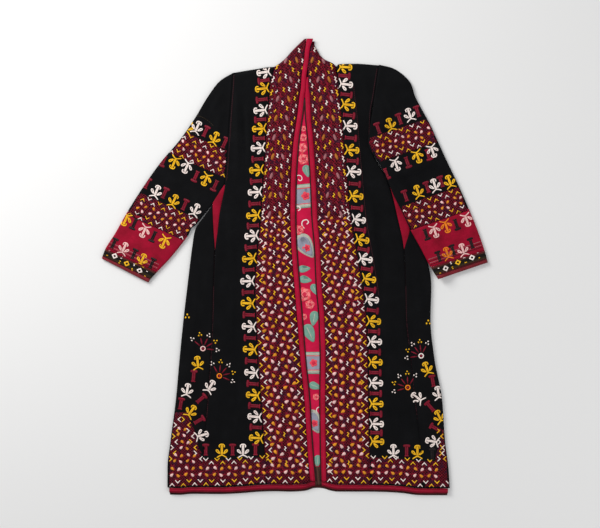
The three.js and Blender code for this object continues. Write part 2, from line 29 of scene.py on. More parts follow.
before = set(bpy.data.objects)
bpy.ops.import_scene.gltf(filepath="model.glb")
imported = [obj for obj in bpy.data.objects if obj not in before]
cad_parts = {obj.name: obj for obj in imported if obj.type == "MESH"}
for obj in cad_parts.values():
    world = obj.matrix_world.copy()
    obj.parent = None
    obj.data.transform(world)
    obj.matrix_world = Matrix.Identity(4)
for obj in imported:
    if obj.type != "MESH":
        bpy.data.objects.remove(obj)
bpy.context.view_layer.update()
mm = 0.001


# shared measures
cloth = {
    "wall": 1.8,          # ground cloth with its lining
    "liningWall": 1.2,
    "thinnest": 0.9,
    "gap": 0.3,           # between two pieces at a seam
    "braid": 12,          # width of the edging
    "frontLevel": 5.4,    # top of the front along the opening
    "sideLevel": 7.4,     # top of the front at the side folds
    "levelRun": 110,      # from the one level to the other
    "shoulderRoll": 12,   # run in which the cloth rounds down at the shoulder
    "neckRoll": 14,       # the same at the outer edge of the neckband
    "sleeveHeight": 7.4,
    "rowStep": 8,         # size of the shells' faces
    "neckStep": 3,
    "columnStep": 7,
}

columns = ("y", "edge", "band", "armhole", "seam", "side")
cutLeft = [
    (500, 26, -52, -153.5, -153.5, -153.5),
    (472, 22.5, -58, -155, -155, -155),
    (450, 21.5, -62, -156, -156, -156),
    (430, 18.3, -63, -157.5, -157.5, -157.5),
    (380, 12.5, -67, -161, -161, -161),
    (305, 2, -72, -166, -166, -166),
    (205, -4, -79, -174, -174, -174),
    (130, -5, -84, -188, -188, -224),
    (93, -4, -87, -192, -193, -249),
    (45, -2, -92, -198, -199, -257),
    (-45, 5, -99, -202, -202, -268),
    (-130, 12, -96, -204, -204, -278),
    (-230, 20, -91, -209, -209, -288),
    (-330, 30, -84, -216, -216, -297),
    (-430, 36, -77, -224, -224, -310),
    (-500, 41, -72, -230, -230, -318),
    (-545, 45, -69, -234, -234, -318),
]
cutRight = [
    (500, 26.3, 103, 209, 209, 209),
    (450, 26.3, 109, 201, 201, 201),
    (430, 32, 111, 198, 198, 198),
    (380, 34, 117, 190, 190, 190),
    (305, 41, 123, 188, 188, 188),
    (205, 47, 132, 236, 236, 236),
    (130, 50, 139, 255, 255, 292),
    (45, 57, 153, 272, 273, 323),
    (-45, 61, 168, 277, 277, 341),
    (-130, 68, 178, 279, 279, 339),
    (-230, 71, 182, 290, 290, 349),
    (-330, 70, 184, 300, 300, 368),
    (-430, 71, 186, 312, 312, 375),
    (-500, 72, 188, 317, 317, 384),
    (-545, 73, 188, 321, 321, 387),
]
gussetEdge = {
    "left": [(205, -176.5), (155, -205), (108, -203.5), (45, -199)],
    "right": [(205, 239.5), (155, 272), (108, 289), (45, 273)],
}
hemLine = [
    (-318, -568), (-287, -569), (-259, -566.5), (-187, -567), (-137, -565), (-87, -561), (-49, -560),
    (-12, -561), (13, -560), (28, -558.5), (38, -555), (50, -551.5), (64, -551.5), (76, -554), (88, -558),
    (108, -561), (178, -561), (228, -562), (268, -564.5), (308, -569.5), (343, -570), (387, -570),
]
shoulderLine = [(-160, 484), (-94, 495), (-56, 500), (103, 500), (110, 507), (150, 508), (210, 504)]
neckFold = {                              # height, fold, edge
    "left": [(500, -52, 26), (506, -42, 27), (518, -27, 29), (540, -7, 31), (556, 9, 34), (570, 24, 38)],
    "right": [(500, 103, 26.3), (508, 97, 28), (518, 76, 30), (528, 64, 31), (540, 57, 32), (553, 49, 35)],
}
# sleeves: outer fold x, y, underarm fold x, y, from the armhole to the wrist
sleeveChords = {
    "left": [
        (-154, 485.4, -175, 208), (-187, 465, -205, 158), (-219, 423, -229, 128), (-247, 376, -247, 106),
        (-287, 318, -258, 97), (-334, 263, -261, 91), (-379, 200, -264, 84), (-417, 140, -268, 77),
        (-449, 84, -310, 24), (-473, 46, -344, -12), (-480, 28, -360, -30), (-482, 22, -366, -38),
    ],
    "right": [
        (210.5, 505.5, 182, 311), (242, 498, 185, 299), (271, 480, 191, 288), (291, 456, 198, 276),
        (300, 428, 206, 264), (316, 396, 216, 248), (338, 356, 226, 228), (358, 312, 236, 203),
        (382, 260, 248, 175), (408, 206, 266, 140), (434, 147, 288, 93), (456, 93, 313, 48),
        (474, 41, 338, 0), (480, 20, 352, -22), (482, 12, 357, -30),
    ],
}
# heights: first and last row, where rows begin to follow the shoulder and the hem, foot of the neckband
firstRow, lastRow, shoulderStart, hemStart, chest = 500, -545, 400, -430, 130
hemPeek = 6                               # the back's hem shows this far below the front's
hemSlack = 0.5
clothHem = hemPeek + cloth["braid"] + cloth["gap"] + hemSlack
hemEnds = (-312, 381)                     # X of the two ends of the hem

# large folds, the same as the solids have: from, to, half width, rise
folds = [
    (-146, 450, -128, 180, 17, 3.4), (-120, 430, -112, 250, 12, 2.2), (-190, 100, -232, -150, 20, 2.6),
    (-160, -60, -182, -420, 24, 3.0), (-262, -180, -276, -480, 16, 2.2), (148, 420, 176, 190, 13, 2.8),
    (186, 150, 210, -60, 14, 3.0), (240, 60, 250, -190, 22, 2.6), (226, -240, 236, -470, 20, 3.0),
    (318, -120, 342, -460, 18, 2.6), (-230, 400, -330, 230, 20, 2.4), (-350, 190, -282, 150, 13, 2.0),
    (238, 222, 366, 268, 11, 2.8), (250, 440, 300, 330, 16, 2.4), (330, 80, 430, 110, 14, 1.8),
]
collarRise = {"x": 30, "y": 525, "reach": 110, "rise": 5.5}
# fine creases: from, to, half width, rise (a trough is negative)
creases = [
    (-148, 470, -142, 210, 6, 1.5), (-133, 440, -118, 260, 5, -1.2), (-170, 180, -150, -40, 8, 1.2),
    (-118, 380, -112, 120, 6, 1.0), (-108, 120, -122, -160, 8, 1.1), (-140, 20, -150, -230, 6, -1.0),
    (-200, 60, -212, -250, 5, 1.0), (-190, -200, -196, -470, 9, 1.3), (-142, -260, -130, -450, 7, -1.1),
    (-236, 30, -262, -260, 9, 1.4), (-290, -260, -296, -520, 8, 1.2), (-252, -280, -262, -540, 6, -1.0),
    (146, 470, 160, 300, 5, 1.3), (172, 480, 186, 400, 8, 1.4), (165, 330, 182, 160, 6, -1.2),
    (190, 190, 204, -20, 6, 1.3), (214, 120, 222, -120, 6, -1.1), (236, 90, 262, -40, 7, 1.2),
    (198, -60, 206, -320, 7, 1.2), (222, -140, 228, -380, 6, -0.9), (262, -60, 276, -300, 8, 1.3),
    (250, -300, 262, -520, 8, 1.2), (204, -330, 214, -520, 6, 1.0), (300, 20, 322, -180, 9, 1.5),
    (324, -200, 346, -420, 8, -1.1), (352, -300, 364, -520, 7, 1.2),
    (-176, 440, -214, 380, 7, 1.3), (-182, 400, -200, 300, 8, 1.2), (-180, 330, -192, 230, 6, 1.1),
    (-212, 330, -236, 230, 7, -1.0), (-250, 340, -300, 270, 7, 1.2), (-240, 190, -250, 120, 7, 1.3),
    (-344, 236, -272, 200, 7, 1.2), (-330, 205, -268, 176, 5, -1.0), (-366, 210, -330, 186, 6, 1.1),
    (-400, 120, -330, 90, 8, 0.9), (-432, 70, -360, 40, 7, 0.8), (-290, 60, -330, 20, 6, 0.9),
    (226, 476, 262, 440, 6, 1.5), (240, 452, 284, 430, 5, -1.2), (222, 430, 250, 380, 7, 1.4),
    (214, 400, 226, 340, 6, 1.1), (262, 400, 310, 372, 6, 1.2), (246, 250, 300, 262, 5, 1.2),
    (262, 214, 372, 254, 7, -1.5), (300, 224, 392, 262, 5, 1.2), (252, 190, 290, 206, 5, 1.0),
    (300, 84, 420, 124, 7, 0.9), (340, 50, 450, 84, 8, 0.8), (330, 20, 352, -6, 5, 0.8),
    (250, 172, 284, 110, 6, 1.0), (404, 214, 444, 130, 6, 0.9),
]
# slow and quick unevenness of the cloth: size of a wave, its height, its plane in the noise
waver = {"size": 62, "rise": 0.7, "plane": 3, "stretch": 0.6, "lift": 0.4,
         "fineSize": 21, "fineRise": 0.22, "finePlane": 9}
foldShape = {"skirt": 1.6, "fade": 0.3}   # shares of a fold's half width and of its length


def smooth(value):
    t = min(max(value, 0), 1)
    return t * t * (3 - 2 * t)


def along(table, place, column, key=0):
    # Column of a table at a place, through its rows on a curve that doesn't overshoot.
    rows = table if table[0][key] < table[-1][key] else table[::-1]
    if place <= rows[0][key]:
        return rows[0][column]
    if place >= rows[-1][key]:
        return rows[-1][column]
    i = next(k for k in range(1, len(rows)) if place <= rows[k][key])

    def slope(k):
        if k <= 0 or k >= len(rows):
            return None
        return (rows[k][column] - rows[k - 1][column]) / (rows[k][key] - rows[k - 1][key])

    def tangent(k):
        a, b = slope(k), slope(k + 1)
        if a is None or b is None:
            return a if b is None else b
        return 0 if a * b <= 0 else 2 * a * b / (a + b)

    low, high = rows[i - 1], rows[i]
    span = high[key] - low[key]
    t = (place - low[key]) / span
    m0, m1 = tangent(i - 1) * span, tangent(i) * span
    return ((2 * t**3 - 3 * t**2 + 1) * low[column] + (t**3 - 2 * t**2 + t) * m0
            + (3 * t**2 - 2 * t**3) * high[column] + (t**3 - t**2) * m1)


def cutAt(side, name):
    table = cutLeft if side == "left" else cutRight
    column = columns.index(name)
    return lambda y: along(table, y, column)


def ridge(x, y, fold):
    # Height of one fold at a place: full along its middle, nothing at its sides and ends.
    fromX, fromY, toX, toY, half, rise = fold
    reach = half * foldShape["skirt"]
    if (x < min(fromX, toX) - reach or x > max(fromX, toX) + reach
            or y < min(fromY, toY) - reach or y > max(fromY, toY) + reach):
        return 0
    dx, dy = toX - fromX, toY - fromY
    length = math.hypot(dx, dy)
    run = ((x - fromX) * dx + (y - fromY) * dy) / length
    off = abs((x - fromX) * dy - (y - fromY) * dx) / length
    fade = length * foldShape["fade"]
    return rise * smooth(run / fade) * smooth((length - run) / fade) * smooth(1 - off / reach)


def relief(x, y):
    # Height that folds, creases and the waver of the cloth add at a place.
    height = max([ridge(x, y, fold) for fold in folds] + [0])
    reach = math.hypot(x - collarRise["x"], y - collarRise["y"]) / collarRise["reach"]
    height += collarRise["rise"] * smooth(1 - reach)
    fine = sum(ridge(x, y, crease) for crease in creases)
    wide = Vector((x, y * waver["stretch"], waver["plane"])) / waver["size"]
    narrow = Vector((x, y, waver["finePlane"])) / waver["fineSize"]
    slow = noise.noise(wide) * waver["rise"]
    quick = noise.noise(narrow) * waver["fineRise"]
    return max(height + fine + slow + quick + waver["lift"], 0)


def placed(x, row, margin=clothHem):
    # Height in plan of a row: rows bend to follow the hem and the shoulder.
    if row < hemStart:
        bottom = along(hemLine, x, 1) + margin
        return hemStart + (row - hemStart) * (bottom - hemStart) / (lastRow - hemStart)
    if row > shoulderStart:
        top = along(shoulderLine, x, 1)
        return shoulderStart + (row - shoulderStart) * (top - shoulderStart) / (firstRow - shoulderStart)
    return row


def rowsBetween(high, low, step):
    count = max(1, round(abs(high - low) / step))
    return [high + (low - high) * i / count for i in range(count + 1)]


def levelAt(x, edge):
    run = smooth(abs(x - edge) / cloth["levelRun"])
    return cloth["frontLevel"] + (cloth["sideLevel"] - cloth["frontLevel"]) * run


def seamDip(distance, depth=0.9, reach=3.2):
    # Cloth is drawn down beside a seam.
    return depth * math.exp(-((distance / reach) ** 2))


# mesh making
def meshPiece(name, points, faces, uv=None, material=None):
    mesh = bpy.data.meshes.new(name)
    mesh.from_pydata([Vector(p) * mm for p in points], [], faces)
    if uv:
        layer = mesh.uv_layers.new(name="UVMap")
        for loop in mesh.loops:
            layer.data[loop.index].uv = uv[loop.vertex_index]
    mesh.polygons.foreach_set("use_smooth", [True] * len(mesh.polygons))
    piece = bpy.data.objects.new(name, mesh)
    bpy.context.collection.objects.link(piece)
    if material:
        mesh.materials.append(material)
    return piece


def cutOf(sections, ring):
    # Size that the cloth is cut to, laid out flat: its widest and longest line, and the area between them.
    spans, length, area = [], 0, 0
    for k, (outer, _) in enumerate(sections):
        line = [Vector(place) for place in (outer + outer[:1] if ring else outer)]
        spans.append(sum((b - a).length for a, b in zip(line, line[1:])))
        if k:
            length += sum((b - a).length for a, b in zip(before, line)) / len(line)
            area += sum((line[i + 1] - before[i]).cross(line[i] - before[i + 1]).length / 2
                        for i in range(len(line) - 1))
        before = line
    return max(spans) * mm, length * mm, area * mm * mm


def wallShell(name, sections, ring=False, material=None):
    # Closed shell of cloth from sections of (outer, inner) points.
    count = len(sections[0][0])
    points, uv, faces = [], [], []
    travel = 0
    for k, (outer, inner) in enumerate(sections):
        if k:
            travel += (Vector(outer[count // 2]) - Vector(sections[k - 1][0][count // 2])).length
        across = [0]
        for a, b in zip(outer, outer[1:]):
            across.append(across[-1] + (Vector(b) - Vector(a)).length)
        points += outer + inner
        uv += [(u * mm, travel * mm) for u in across] * 2
    size = count * 2
    last = len(sections) - 1
    spans = count if ring else count - 1

    def out(row, i):
        return row * size + i % count

    def inn(row, i):
        return row * size + count + i % count

    for row in range(last):
        for i in range(spans):
            faces.append((out(row, i), out(row, i + 1), out(row + 1, i + 1), out(row + 1, i)))
            faces.append((inn(row, i + 1), inn(row, i), inn(row + 1, i), inn(row + 1, i + 1)))
        if not ring:
            faces.append((inn(row, 0), out(row, 0), out(row + 1, 0), inn(row + 1, 0)))
            end = count - 1
            faces.append((out(row, end), inn(row, end), inn(row + 1, end), out(row + 1, end)))
    for i in range(spans):
        faces.append((inn(0, i), inn(0, i + 1), out(0, i + 1), out(0, i)))
        faces.append((out(last, i), out(last, i + 1), inn(last, i + 1), inn(last, i)))
    if signedVolume(points, faces) < 0:
        faces = [face[::-1] for face in faces]
    cutOf(sections, ring)
    return meshPiece(name, points, faces, uv, material)


def signedVolume(points, faces):
    total = 0
    for face in faces:
        a = Vector(points[face[0]])
        for i in range(1, len(face) - 1):
            total += a.dot(Vector(points[face[i]]).cross(Vector(points[face[i + 1]])))
    return total


# finishes
def plainMaterial(name, colour, roughness, sheen=0.0, sheenTint=None, sheenRoughness=0.4, specular=0.1):
    material = bpy.data.materials.new(name)
    material.use_nodes = True
    tree = material.node_tree
    shader = tree.nodes["Principled BSDF"]
    shader.inputs["Base Color"].default_value = (*colour, 1)
    shader.inputs["Roughness"].default_value = roughness
    shader.inputs["Specular IOR Level"].default_value = specular
    shader.inputs["Sheen Weight"].default_value = sheen
    shader.inputs["Sheen Roughness"].default_value = sheenRoughness
    shader.inputs["Sheen Tint"].default_value = (*(sheenTint or colour), 1)
    return material, tree, shader


def add(tree, kind, **inputs):
    node = tree.nodes.new(kind)
    for key, value in inputs.items():
        node.inputs[key].default_value = value
    return node


def combined(tree, operation, *sources):
    # Result of a sum over one or two sockets.
    node = tree.nodes.new("ShaderNodeMath")
    node.operation = operation
    for k, source in enumerate(sources):
        tree.links.new(source, node.inputs[k])
    return node.outputs[0]


def textured(tree, kind, coordinates, **inputs):
    # A wave or noise texture read at the coordinates.
    node = add(tree, f"ShaderNodeTex{kind}", **inputs)
    tree.links.new(coordinates, node.inputs["Vector"])
    return node


def bumped(tree, shader, source, depth, distance):
    bump = add(tree, "ShaderNodeBump", Strength=depth, Distance=distance)
    tree.links.new(source, bump.inputs["Height"])
    tree.links.new(bump.outputs["Normal"], shader.inputs["Normal"])


def objectPlace(tree):
    return tree.nodes.new("ShaderNodeTexCoord").outputs["Object"]


def ramp(tree, source, stops):
    node = tree.nodes.new("ShaderNodeValToRGB")
    band = node.color_ramp
    while len(band.elements) > 1:
        band.elements.remove(band.elements[-1])
    band.elements[0].position = stops[0][0]
    band.elements[0].color = (*stops[0][1], 1)
    for place, colour in stops[1:]:
        band.elements.new(place).color = (*colour, 1)
    tree.links.new(source, node.inputs["Fac"])
    return node


def weave(tree, shader, coordinates, threads, depth, distance, mottled=None):
    # Warp and weft as crossed waves into a bump; mottled colours the cloth unevenly.
    crossed = []
    for direction in ("X", "Y"):
        wave = textured(tree, "Wave", coordinates, Scale=threads, Distortion=0.6, Detail=1.0)
        wave.bands_direction = direction
        crossed.append(wave.outputs["Fac"])
    bumped(tree, shader, combined(tree, "MULTIPLY", *crossed), depth, distance)
    if mottled:
        scale, stops = mottled
        spots = textured(tree, "Noise", coordinates, Scale=scale, Detail=5.0, Roughness=0.65)
        tinted = ramp(tree, spots.outputs["Fac"], stops)
        tree.links.new(tinted.outputs["Color"], shader.inputs["Base Color"])


def blackCloth():
    material, tree, shader = plainMaterial("blackCloth", (0.0024, 0.0024, 0.003), 0.8, 0.04,
                                           (0.34, 0.36, 0.42))
    shades = [(0.3, (0.0012, 0.0012, 0.0016)), (0.55, (0.0021, 0.0021, 0.0026)),
              (0.75, (0.0036, 0.0036, 0.0043))]
    weave(tree, shader, objectPlace(tree), threads=420, depth=0.35, distance=0.0004, mottled=(26, shades))
    return material


def redCloth(name, base, deep):
    material, tree, shader = plainMaterial(name, base, 0.6, 0.02, (0.9, 0.3, 0.35))
    shades = [(0.3, deep), (0.6, base), (0.8, tuple(c * 1.35 for c in base))]
    weave(tree, shader, objectPlace(tree), threads=380, depth=0.35, distance=0.0004, mottled=(34, shades))
    return material


def workedCloth():
    # Ground of the embroidered bands: dark cloth under crossing rows of fine wine and plum stitches.
    material, tree, shader = plainMaterial("workedCloth", (0.06, 0.008, 0.014), 0.8, 0.02, (0.5, 0.2, 0.3))
    place = objectPlace(tree)
    weave(tree, shader, place, threads=300, depth=0.5, distance=0.0006)
    rows = []
    for turn in (0.75, 2.35):
        turned = add(tree, "ShaderNodeMapping", Rotation=(0, 0, turn))
        tree.links.new(place, turned.inputs["Vector"])
        row = textured(tree, "Wave", turned.outputs[0], Scale=64.0, Distortion=3.0, Detail=2.0)
        row.inputs["Detail Scale"].default_value = 2.0
        rows.append(row.outputs["Fac"])
    stitched = ramp(tree, combined(tree, "MAXIMUM", *rows), [
        (0.72, (0.0020, 0.0014, 0.0018)), (0.82, (0.050, 0.003, 0.008)), (0.93, (0.145, 0.0035, 0.013)),
        (1.0, (0.205, 0.005, 0.017))])
    spots = textured(tree, "Noise", place, Scale=85.0, Detail=2.0)
    share = ramp(tree, spots.outputs["Fac"], [(0.54, (0, 0, 0)), (0.62, (0.7, 0.7, 0.7))])
    plum = add(tree, "ShaderNodeMixRGB", Color2=(0.026, 0.005, 0.019, 1))
    tree.links.new(share.outputs["Color"], plum.inputs["Fac"])
    tree.links.new(stitched.outputs["Color"], plum.inputs["Color1"])
    tree.links.new(plum.outputs[0], shader.inputs["Base Color"])
    return material


def printGround():
    material, tree, shader = plainMaterial("printGround", (0.5, 0.012, 0.06), 0.8, 0.03, (0.9, 0.5, 0.55))
    shades = [(0.3, (0.42, 0.005, 0.038)), (0.55, (0.54, 0.007, 0.050)), (0.8, (0.62, 0.015, 0.075))]
    weave(tree, shader, objectPlace(tree), threads=520, depth=0.3, distance=0.0003, mottled=(22, shades))
    return material


def stripedCloth(name, stripes, pitch, column):
    # Woven stripes that follow the piece's own UV.
    material, tree, shader = plainMaterial(name, stripes[0][1], 0.75, 0.03, (0.7, 0.6, 0.5))
    uv = tree.nodes.new("ShaderNodeTexCoord").outputs["UV"]
    split = tree.nodes.new("ShaderNodeSeparateXYZ")
    tree.links.new(uv, split.inputs[0])
    scaled = combined(tree, "DIVIDE", split.outputs[column])
    scaled.node.inputs[1].default_value = pitch * mm
    banded = ramp(tree, combined(tree, "FRACT", scaled), stripes)
    banded.color_ramp.interpolation = "CONSTANT"
    weave(tree, shader, uv, threads=400, depth=0.3, distance=0.0004)
    tree.links.new(banded.outputs["Color"], shader.inputs["Base Color"])
    return material


def silkThread(name, colour, spread):
    # Twisted silk: fine ridges across the stitch, colour a little uneven.
    tint = tuple(min(1, c * 1.2 + 0.1) for c in colour)
    material, tree, shader = plainMaterial(name, colour, 0.42, 0.03, tint, 0.35, specular=0.16)
    spots = textured(tree, "Noise", objectPlace(tree), Scale=70.0, Detail=3.0)
    deep = tuple(c * (1 - spread) for c in colour)
    pale = tuple(min(1, c * (1 + spread * 0.6)) for c in colour)
    tinted = ramp(tree, spots.outputs["Fac"], [(0.3, deep), (0.7, pale)])
    tree.links.new(tinted.outputs["Color"], shader.inputs["Base Color"])
    uv = tree.nodes.new("ShaderNodeTexCoord").outputs["UV"]
    twist = textured(tree, "Wave", uv, Scale=330.0, Distortion=1.2, Detail=1.0)
    bumped(tree, shader, twist.outputs["Fac"], depth=0.5, distance=0.0004)
    return material


def flatDye(name, colour):
    material, tree, shader = plainMaterial(name, colour, 0.85, 0.02, (1, 0.9, 0.9))
    shades = [(0.3, tuple(c * 0.82 for c in colour)), (0.7, tuple(min(1, c * 1.1) for c in colour))]
    weave(tree, shader, objectPlace(tree), threads=520, depth=0.3, distance=0.0003, mottled=(90, shades))
    return material


finishes = {
    "black": blackCloth(),
    "red": redCloth("redCloth", (0.30, 0.0012, 0.020), (0.20, 0.001, 0.012)),
    "worked": workedCloth(),
    "print": printGround(),
    "braid": redCloth("braidCloth", (0.42, 0.0015, 0.030), (0.29, 0.001, 0.018)),
    "hemBraid": redCloth("hemBraidCloth", (0.21, 0.0012, 0.014), (0.13, 0.0008, 0.008)),
    "piping": redCloth("pipingCloth", (0.19, 0.017, 0.024), (0.11, 0.008, 0.011)),
    "cuffStripe": stripedCloth("cuffStripe", [
        (0.0, (0.16, 0.012, 0.018)), (0.05, (0.022, 0.005, 0.005)), (0.09, (0.14, 0.022, 0.018)),
        (0.13, (0.014, 0.005, 0.005)), (0.18, (0.09, 0.026, 0.014)), (0.22, (0.008, 0.005, 0.004)),
        (0.66, (0.036, 0.028, 0.011)), (0.70, (0.008, 0.006, 0.005)), (0.75, (0.036, 0.028, 0.011)),
        (0.79, (0.014, 0.009, 0.006)), (0.85, (0.08, 0.026, 0.014)), (0.9, (0.014, 0.008, 0.006))], 23, 1),
    "facingStripe": stripedCloth("facingStripe", [
        (0.0, (0.055, 0.022, 0.016)), (0.3, (0.17, 0.055, 0.05)), (0.4, (0.045, 0.028, 0.014)),
        (0.65, (0.10, 0.045, 0.03)), (0.8, (0.028, 0.012, 0.010))], 7, 0),
    # the back's hem is dark brown cloth; its colour, taken from the line under the front's hem, is partly
    # painted shade from that hem
    "backHem": redCloth("backHemShadedCloth", (0.050, 0.010, 0.008), (0.022, 0.005, 0.004)),
}
threads = {                              # colour, then how unevenly the silk took it
    "ivory": ((0.97, 0.81, 0.74), 0.12), "shell": ((0.86, 0.54, 0.50), 0.24),
    "honey": ((0.74, 0.28, 0.016), 0.3), "amber": ((0.42, 0.135, 0.014), 0.3),
    # selvageAndShadow: near-black brown for the strip beside the front edging, partly the braid's brown edge
    # and partly painted shadow that the front casts on the lining
    "rosewood": ((0.34, 0.13, 0.14), 0.2), "selvageAndShadow": ((0.032, 0.006, 0.006), 0.4),
    "olive": ((0.034, 0.022, 0.007), 0.3), "seam": ((0.040, 0.006, 0.010), 0.3),
    "yellow": ((0.96, 0.50, 0.012), 0.2), "orange": ((0.86, 0.23, 0.008), 0.18),
    "pink": ((0.92, 0.56, 0.52), 0.18), "maroon": ((0.20, 0.003, 0.017), 0.3),
    "wine": ((0.27, 0.004, 0.020), 0.3), "plum": ((0.085, 0.006, 0.030), 0.3),
    "dark": ((0.008, 0.0036, 0.004), 0.18), "crimson": ((0.42, 0.006, 0.034), 0.18),
}
dyes = {
    "mint": (0.18, 0.35, 0.27), "coral": (0.80, 0.075, 0.10), "blush": (0.88, 0.22, 0.22),
    "white": (0.86, 0.72, 0.68), "lilac": (0.29, 0.29, 0.35), "stone": (0.44, 0.44, 0.36),
    "rose": (0.62, 0.03, 0.07),
}
finishes.update({key: silkThread(f"{key}Thread", *thread) for key, thread in threads.items()})
finishes.update({key: flatDye(f"{key}Print", colour) for key, colour in dyes.items()})
print("finishes ready")


# cloth shells
seamDraw = {"outer": 0.6, "inner": 0.1}      # how much of a seam's dip each face of the cloth takes
neckFree = {"from": 470, "run": 30}          # rows over which the neckband comes free of the body


def frontSections(fromX, toX, rows, edgeX, rollAt=None):
    # Sections of a front piece between two edges.
    low = cloth["wall"] * 2 + cloth["gap"]
    widest = max(abs(toX(row) - fromX(row)) for row in rows)
    count = max(4, round(widest / cloth["columnStep"]))
    sections = []
    for row in rows:
        start, end = fromX(row), toX(row)
        outer, inner = [], []
        for i in range(count + 1):
            t = i / count
            x = start + (end - start) * t
            y = row if row > firstRow else placed(x, row)
            top = levelAt(x, edgeX(row)) + relief(x, y)
            if rollAt:
                freed = smooth((row - neckFree["from"]) / neckFree["run"])
                reach = min(abs(x - rollAt(row)) / cloth["neckRoll"], 1)
                top = low + (top - low) * (1 - freed * (1 - math.sqrt(1 - (1 - reach) ** 2)))
            else:
                reach = min(max(along(shoulderLine, x, 1) - y, 0) / cloth["shoulderRoll"], 1)
                top = low + (top - low) * math.sqrt(1 - (1 - reach) ** 2)
            dip = seamDip(abs(x - start)) + seamDip(abs(end - x))
            outer.append((x, y, max(top - dip * seamDraw["outer"], low)))
            under = max(top - cloth["wall"] - dip * seamDraw["inner"], low - cloth["wall"])
            inner.append((x, y, min(under, outer[-1][2] - cloth["thinnest"])))
        sections.append((outer, inner))
    return sections


halfSeam = cloth["gap"] / 2
halfBraid = cloth["braid"] / 2 + cloth["gap"]
armholeLap = {"reach": 2.2, "from": 206, "run": 12}      # how far the front reaches under the sleeve
peakRows = {"from": 550, "run": 16}                      # where the edging widens toward the peak


def edgeWidth(row, peak):
    widened = smooth((row - peakRows["from"]) / peakRows["run"])
    return cloth["braid"] + (peak - cloth["braid"]) * widened


sides = {
    "left": {"sign": -1, "goreTop": 155, "braidTop": 570, "peak": 16},
    "right": {"sign": 1, "goreTop": 118, "braidTop": 426, "peak": 12},
}


def makeFronts(side):
    sign = sides[side]["sign"]
    edge, band, armhole = (cutAt(side, name) for name in ("edge", "band", "armhole"))

    def lapped(row):
        lap = smooth((row - armholeLap["from"]) / armholeLap["run"])
        return armhole(row) + sign * armholeLap["reach"] * lap

    strip = wallShell(f"frontStripCloth_{side}", frontSections(
        lambda r: edge(r) + sign * halfBraid, lambda r: band(r) - sign * halfSeam,
        rowsBetween(chest - halfSeam, lastRow, cloth["rowStep"]), edge), material=finishes["worked"])
    panel = wallShell(f"frontPanelCloth_{side}", frontSections(
        lambda r: band(r) + sign * halfSeam, lapped,
        rowsBetween(firstRow, lastRow, cloth["rowStep"]), edge), material=finishes["black"])
    neck = neckFold[side]
    peak = sides[side]["peak"]

    def neckEdge(row):
        line = along(neck, row, 2) if row > firstRow else edge(row)
        return line + sign * (edgeWidth(row, peak) / 2 + cloth["gap"])

    def neckOuter(row):
        return (along(neck, row, 1) if row > firstRow else band(row)) - sign * halfSeam

    rows = rowsBetween(neck[-1][0], firstRow + 1, cloth["neckStep"])
    rows += rowsBetween(firstRow, chest + halfSeam, cloth["rowStep"])
    collar = wallShell(f"neckbandCloth_{side}", frontSections(
        neckEdge, neckOuter, rows, neckEdge, rollAt=neckOuter), material=finishes["worked"])
    return {"strip": strip, "panel": panel, "neckband": collar}


# columns on the front, round the fold and behind, largest radius as a share of the width, run in
# which the relief fades before the fold
goreShape = {"front": 12, "round": 8, "behind": 4, "radius": 0.45, "fade": 18}


def makeGore(side):
    # The gore wraps round the side fold, from its front seam to its seam with the back.
    front, bend, behind = goreShape["front"], goreShape["round"], goreShape["behind"]
    sign = sides[side]["sign"]
    seamAt, sideAt, gusset = cutAt(side, "seam"), cutAt(side, "side"), gussetEdge[side]
    full = cloth["sideLevel"]
    sections = []
    for row in rowsBetween(sides[side]["goreTop"], lastRow, cloth["rowStep"]):
        backSeam = seamAt(row) + sign * halfSeam
        seam = along(gusset, row, 1) + sign * halfSeam if row >= gusset[-1][0] else backSeam
        edge = sideAt(row)
        width, backWidth = abs(edge - seam), abs(edge - backSeam)
        radius = min(full / 2, width * goreShape["radius"])
        path = []
        for i in range(front + 1):
            s = (width - radius) * i / front
            ride = relief(seam + sign * s, row) * smooth((width - s) / goreShape["fade"])
            path.append((s, full - seamDip(s) * seamDraw["outer"], 0, 1, ride))
        for i in range(1, bend):
            nx, nz = math.sin(math.pi * i / bend), math.cos(math.pi * i / bend)
            path.append((width - radius + radius * nx, full / 2 * (1 + nz), nx, nz, 0))
        for i in range(behind + 1):
            path.append((width - radius - (backWidth - radius) * i / behind, 0, 0, -1, 0))
        section = []
        for depth in (0, cloth["wall"]):
            points = []
            for s, z, nx, nz, ride in path:
                x = seam + sign * (s - nx * depth)
                points.append((x, placed(x, row), max(z + ride - nz * depth, 0)))
            section.append(points)
        sections.append(tuple(section))
    return wallShell(f"sideGoreCloth_{side}", sections, material=finishes["black"])


gussetShape = {"step": 5, "across": 8, "dip": 0.6, "deepest": 0.9, "wall": 1.1}


def makeGusset(side):
    across, depth = gussetShape["across"], gussetShape["dip"]
    sign = sides[side]["sign"]
    near, far = cutAt(side, "armhole"), gussetEdge[side]
    sections = []
    for row in rowsBetween(far[0][0], far[-1][0], gussetShape["step"]):
        start = near(row) + sign * halfSeam
        end = along(far, row, 1) - sign * halfSeam
        outer, inner = [], []
        for i in range(across + 1):
            x = start + (end - start) * i / across
            dip = seamDip(abs(x - start), depth) + seamDip(abs(end - x), depth)
            top = cloth["sideLevel"] + relief(x, row) - min(dip, gussetShape["deepest"])
            outer.append((x, row, top))
            inner.append((x, row, top - gussetShape["wall"]))
        sections.append((outer, inner))
    return wallShell(f"gussetCloth_{side}", sections, material=finishes["red"])


# the right sleeve climbs on the body: reach and run beside the fold, top and run up it, lift
overBody = {"reach": 60, "run": 34, "top": 424, "fade": 80, "lift": 0.8}


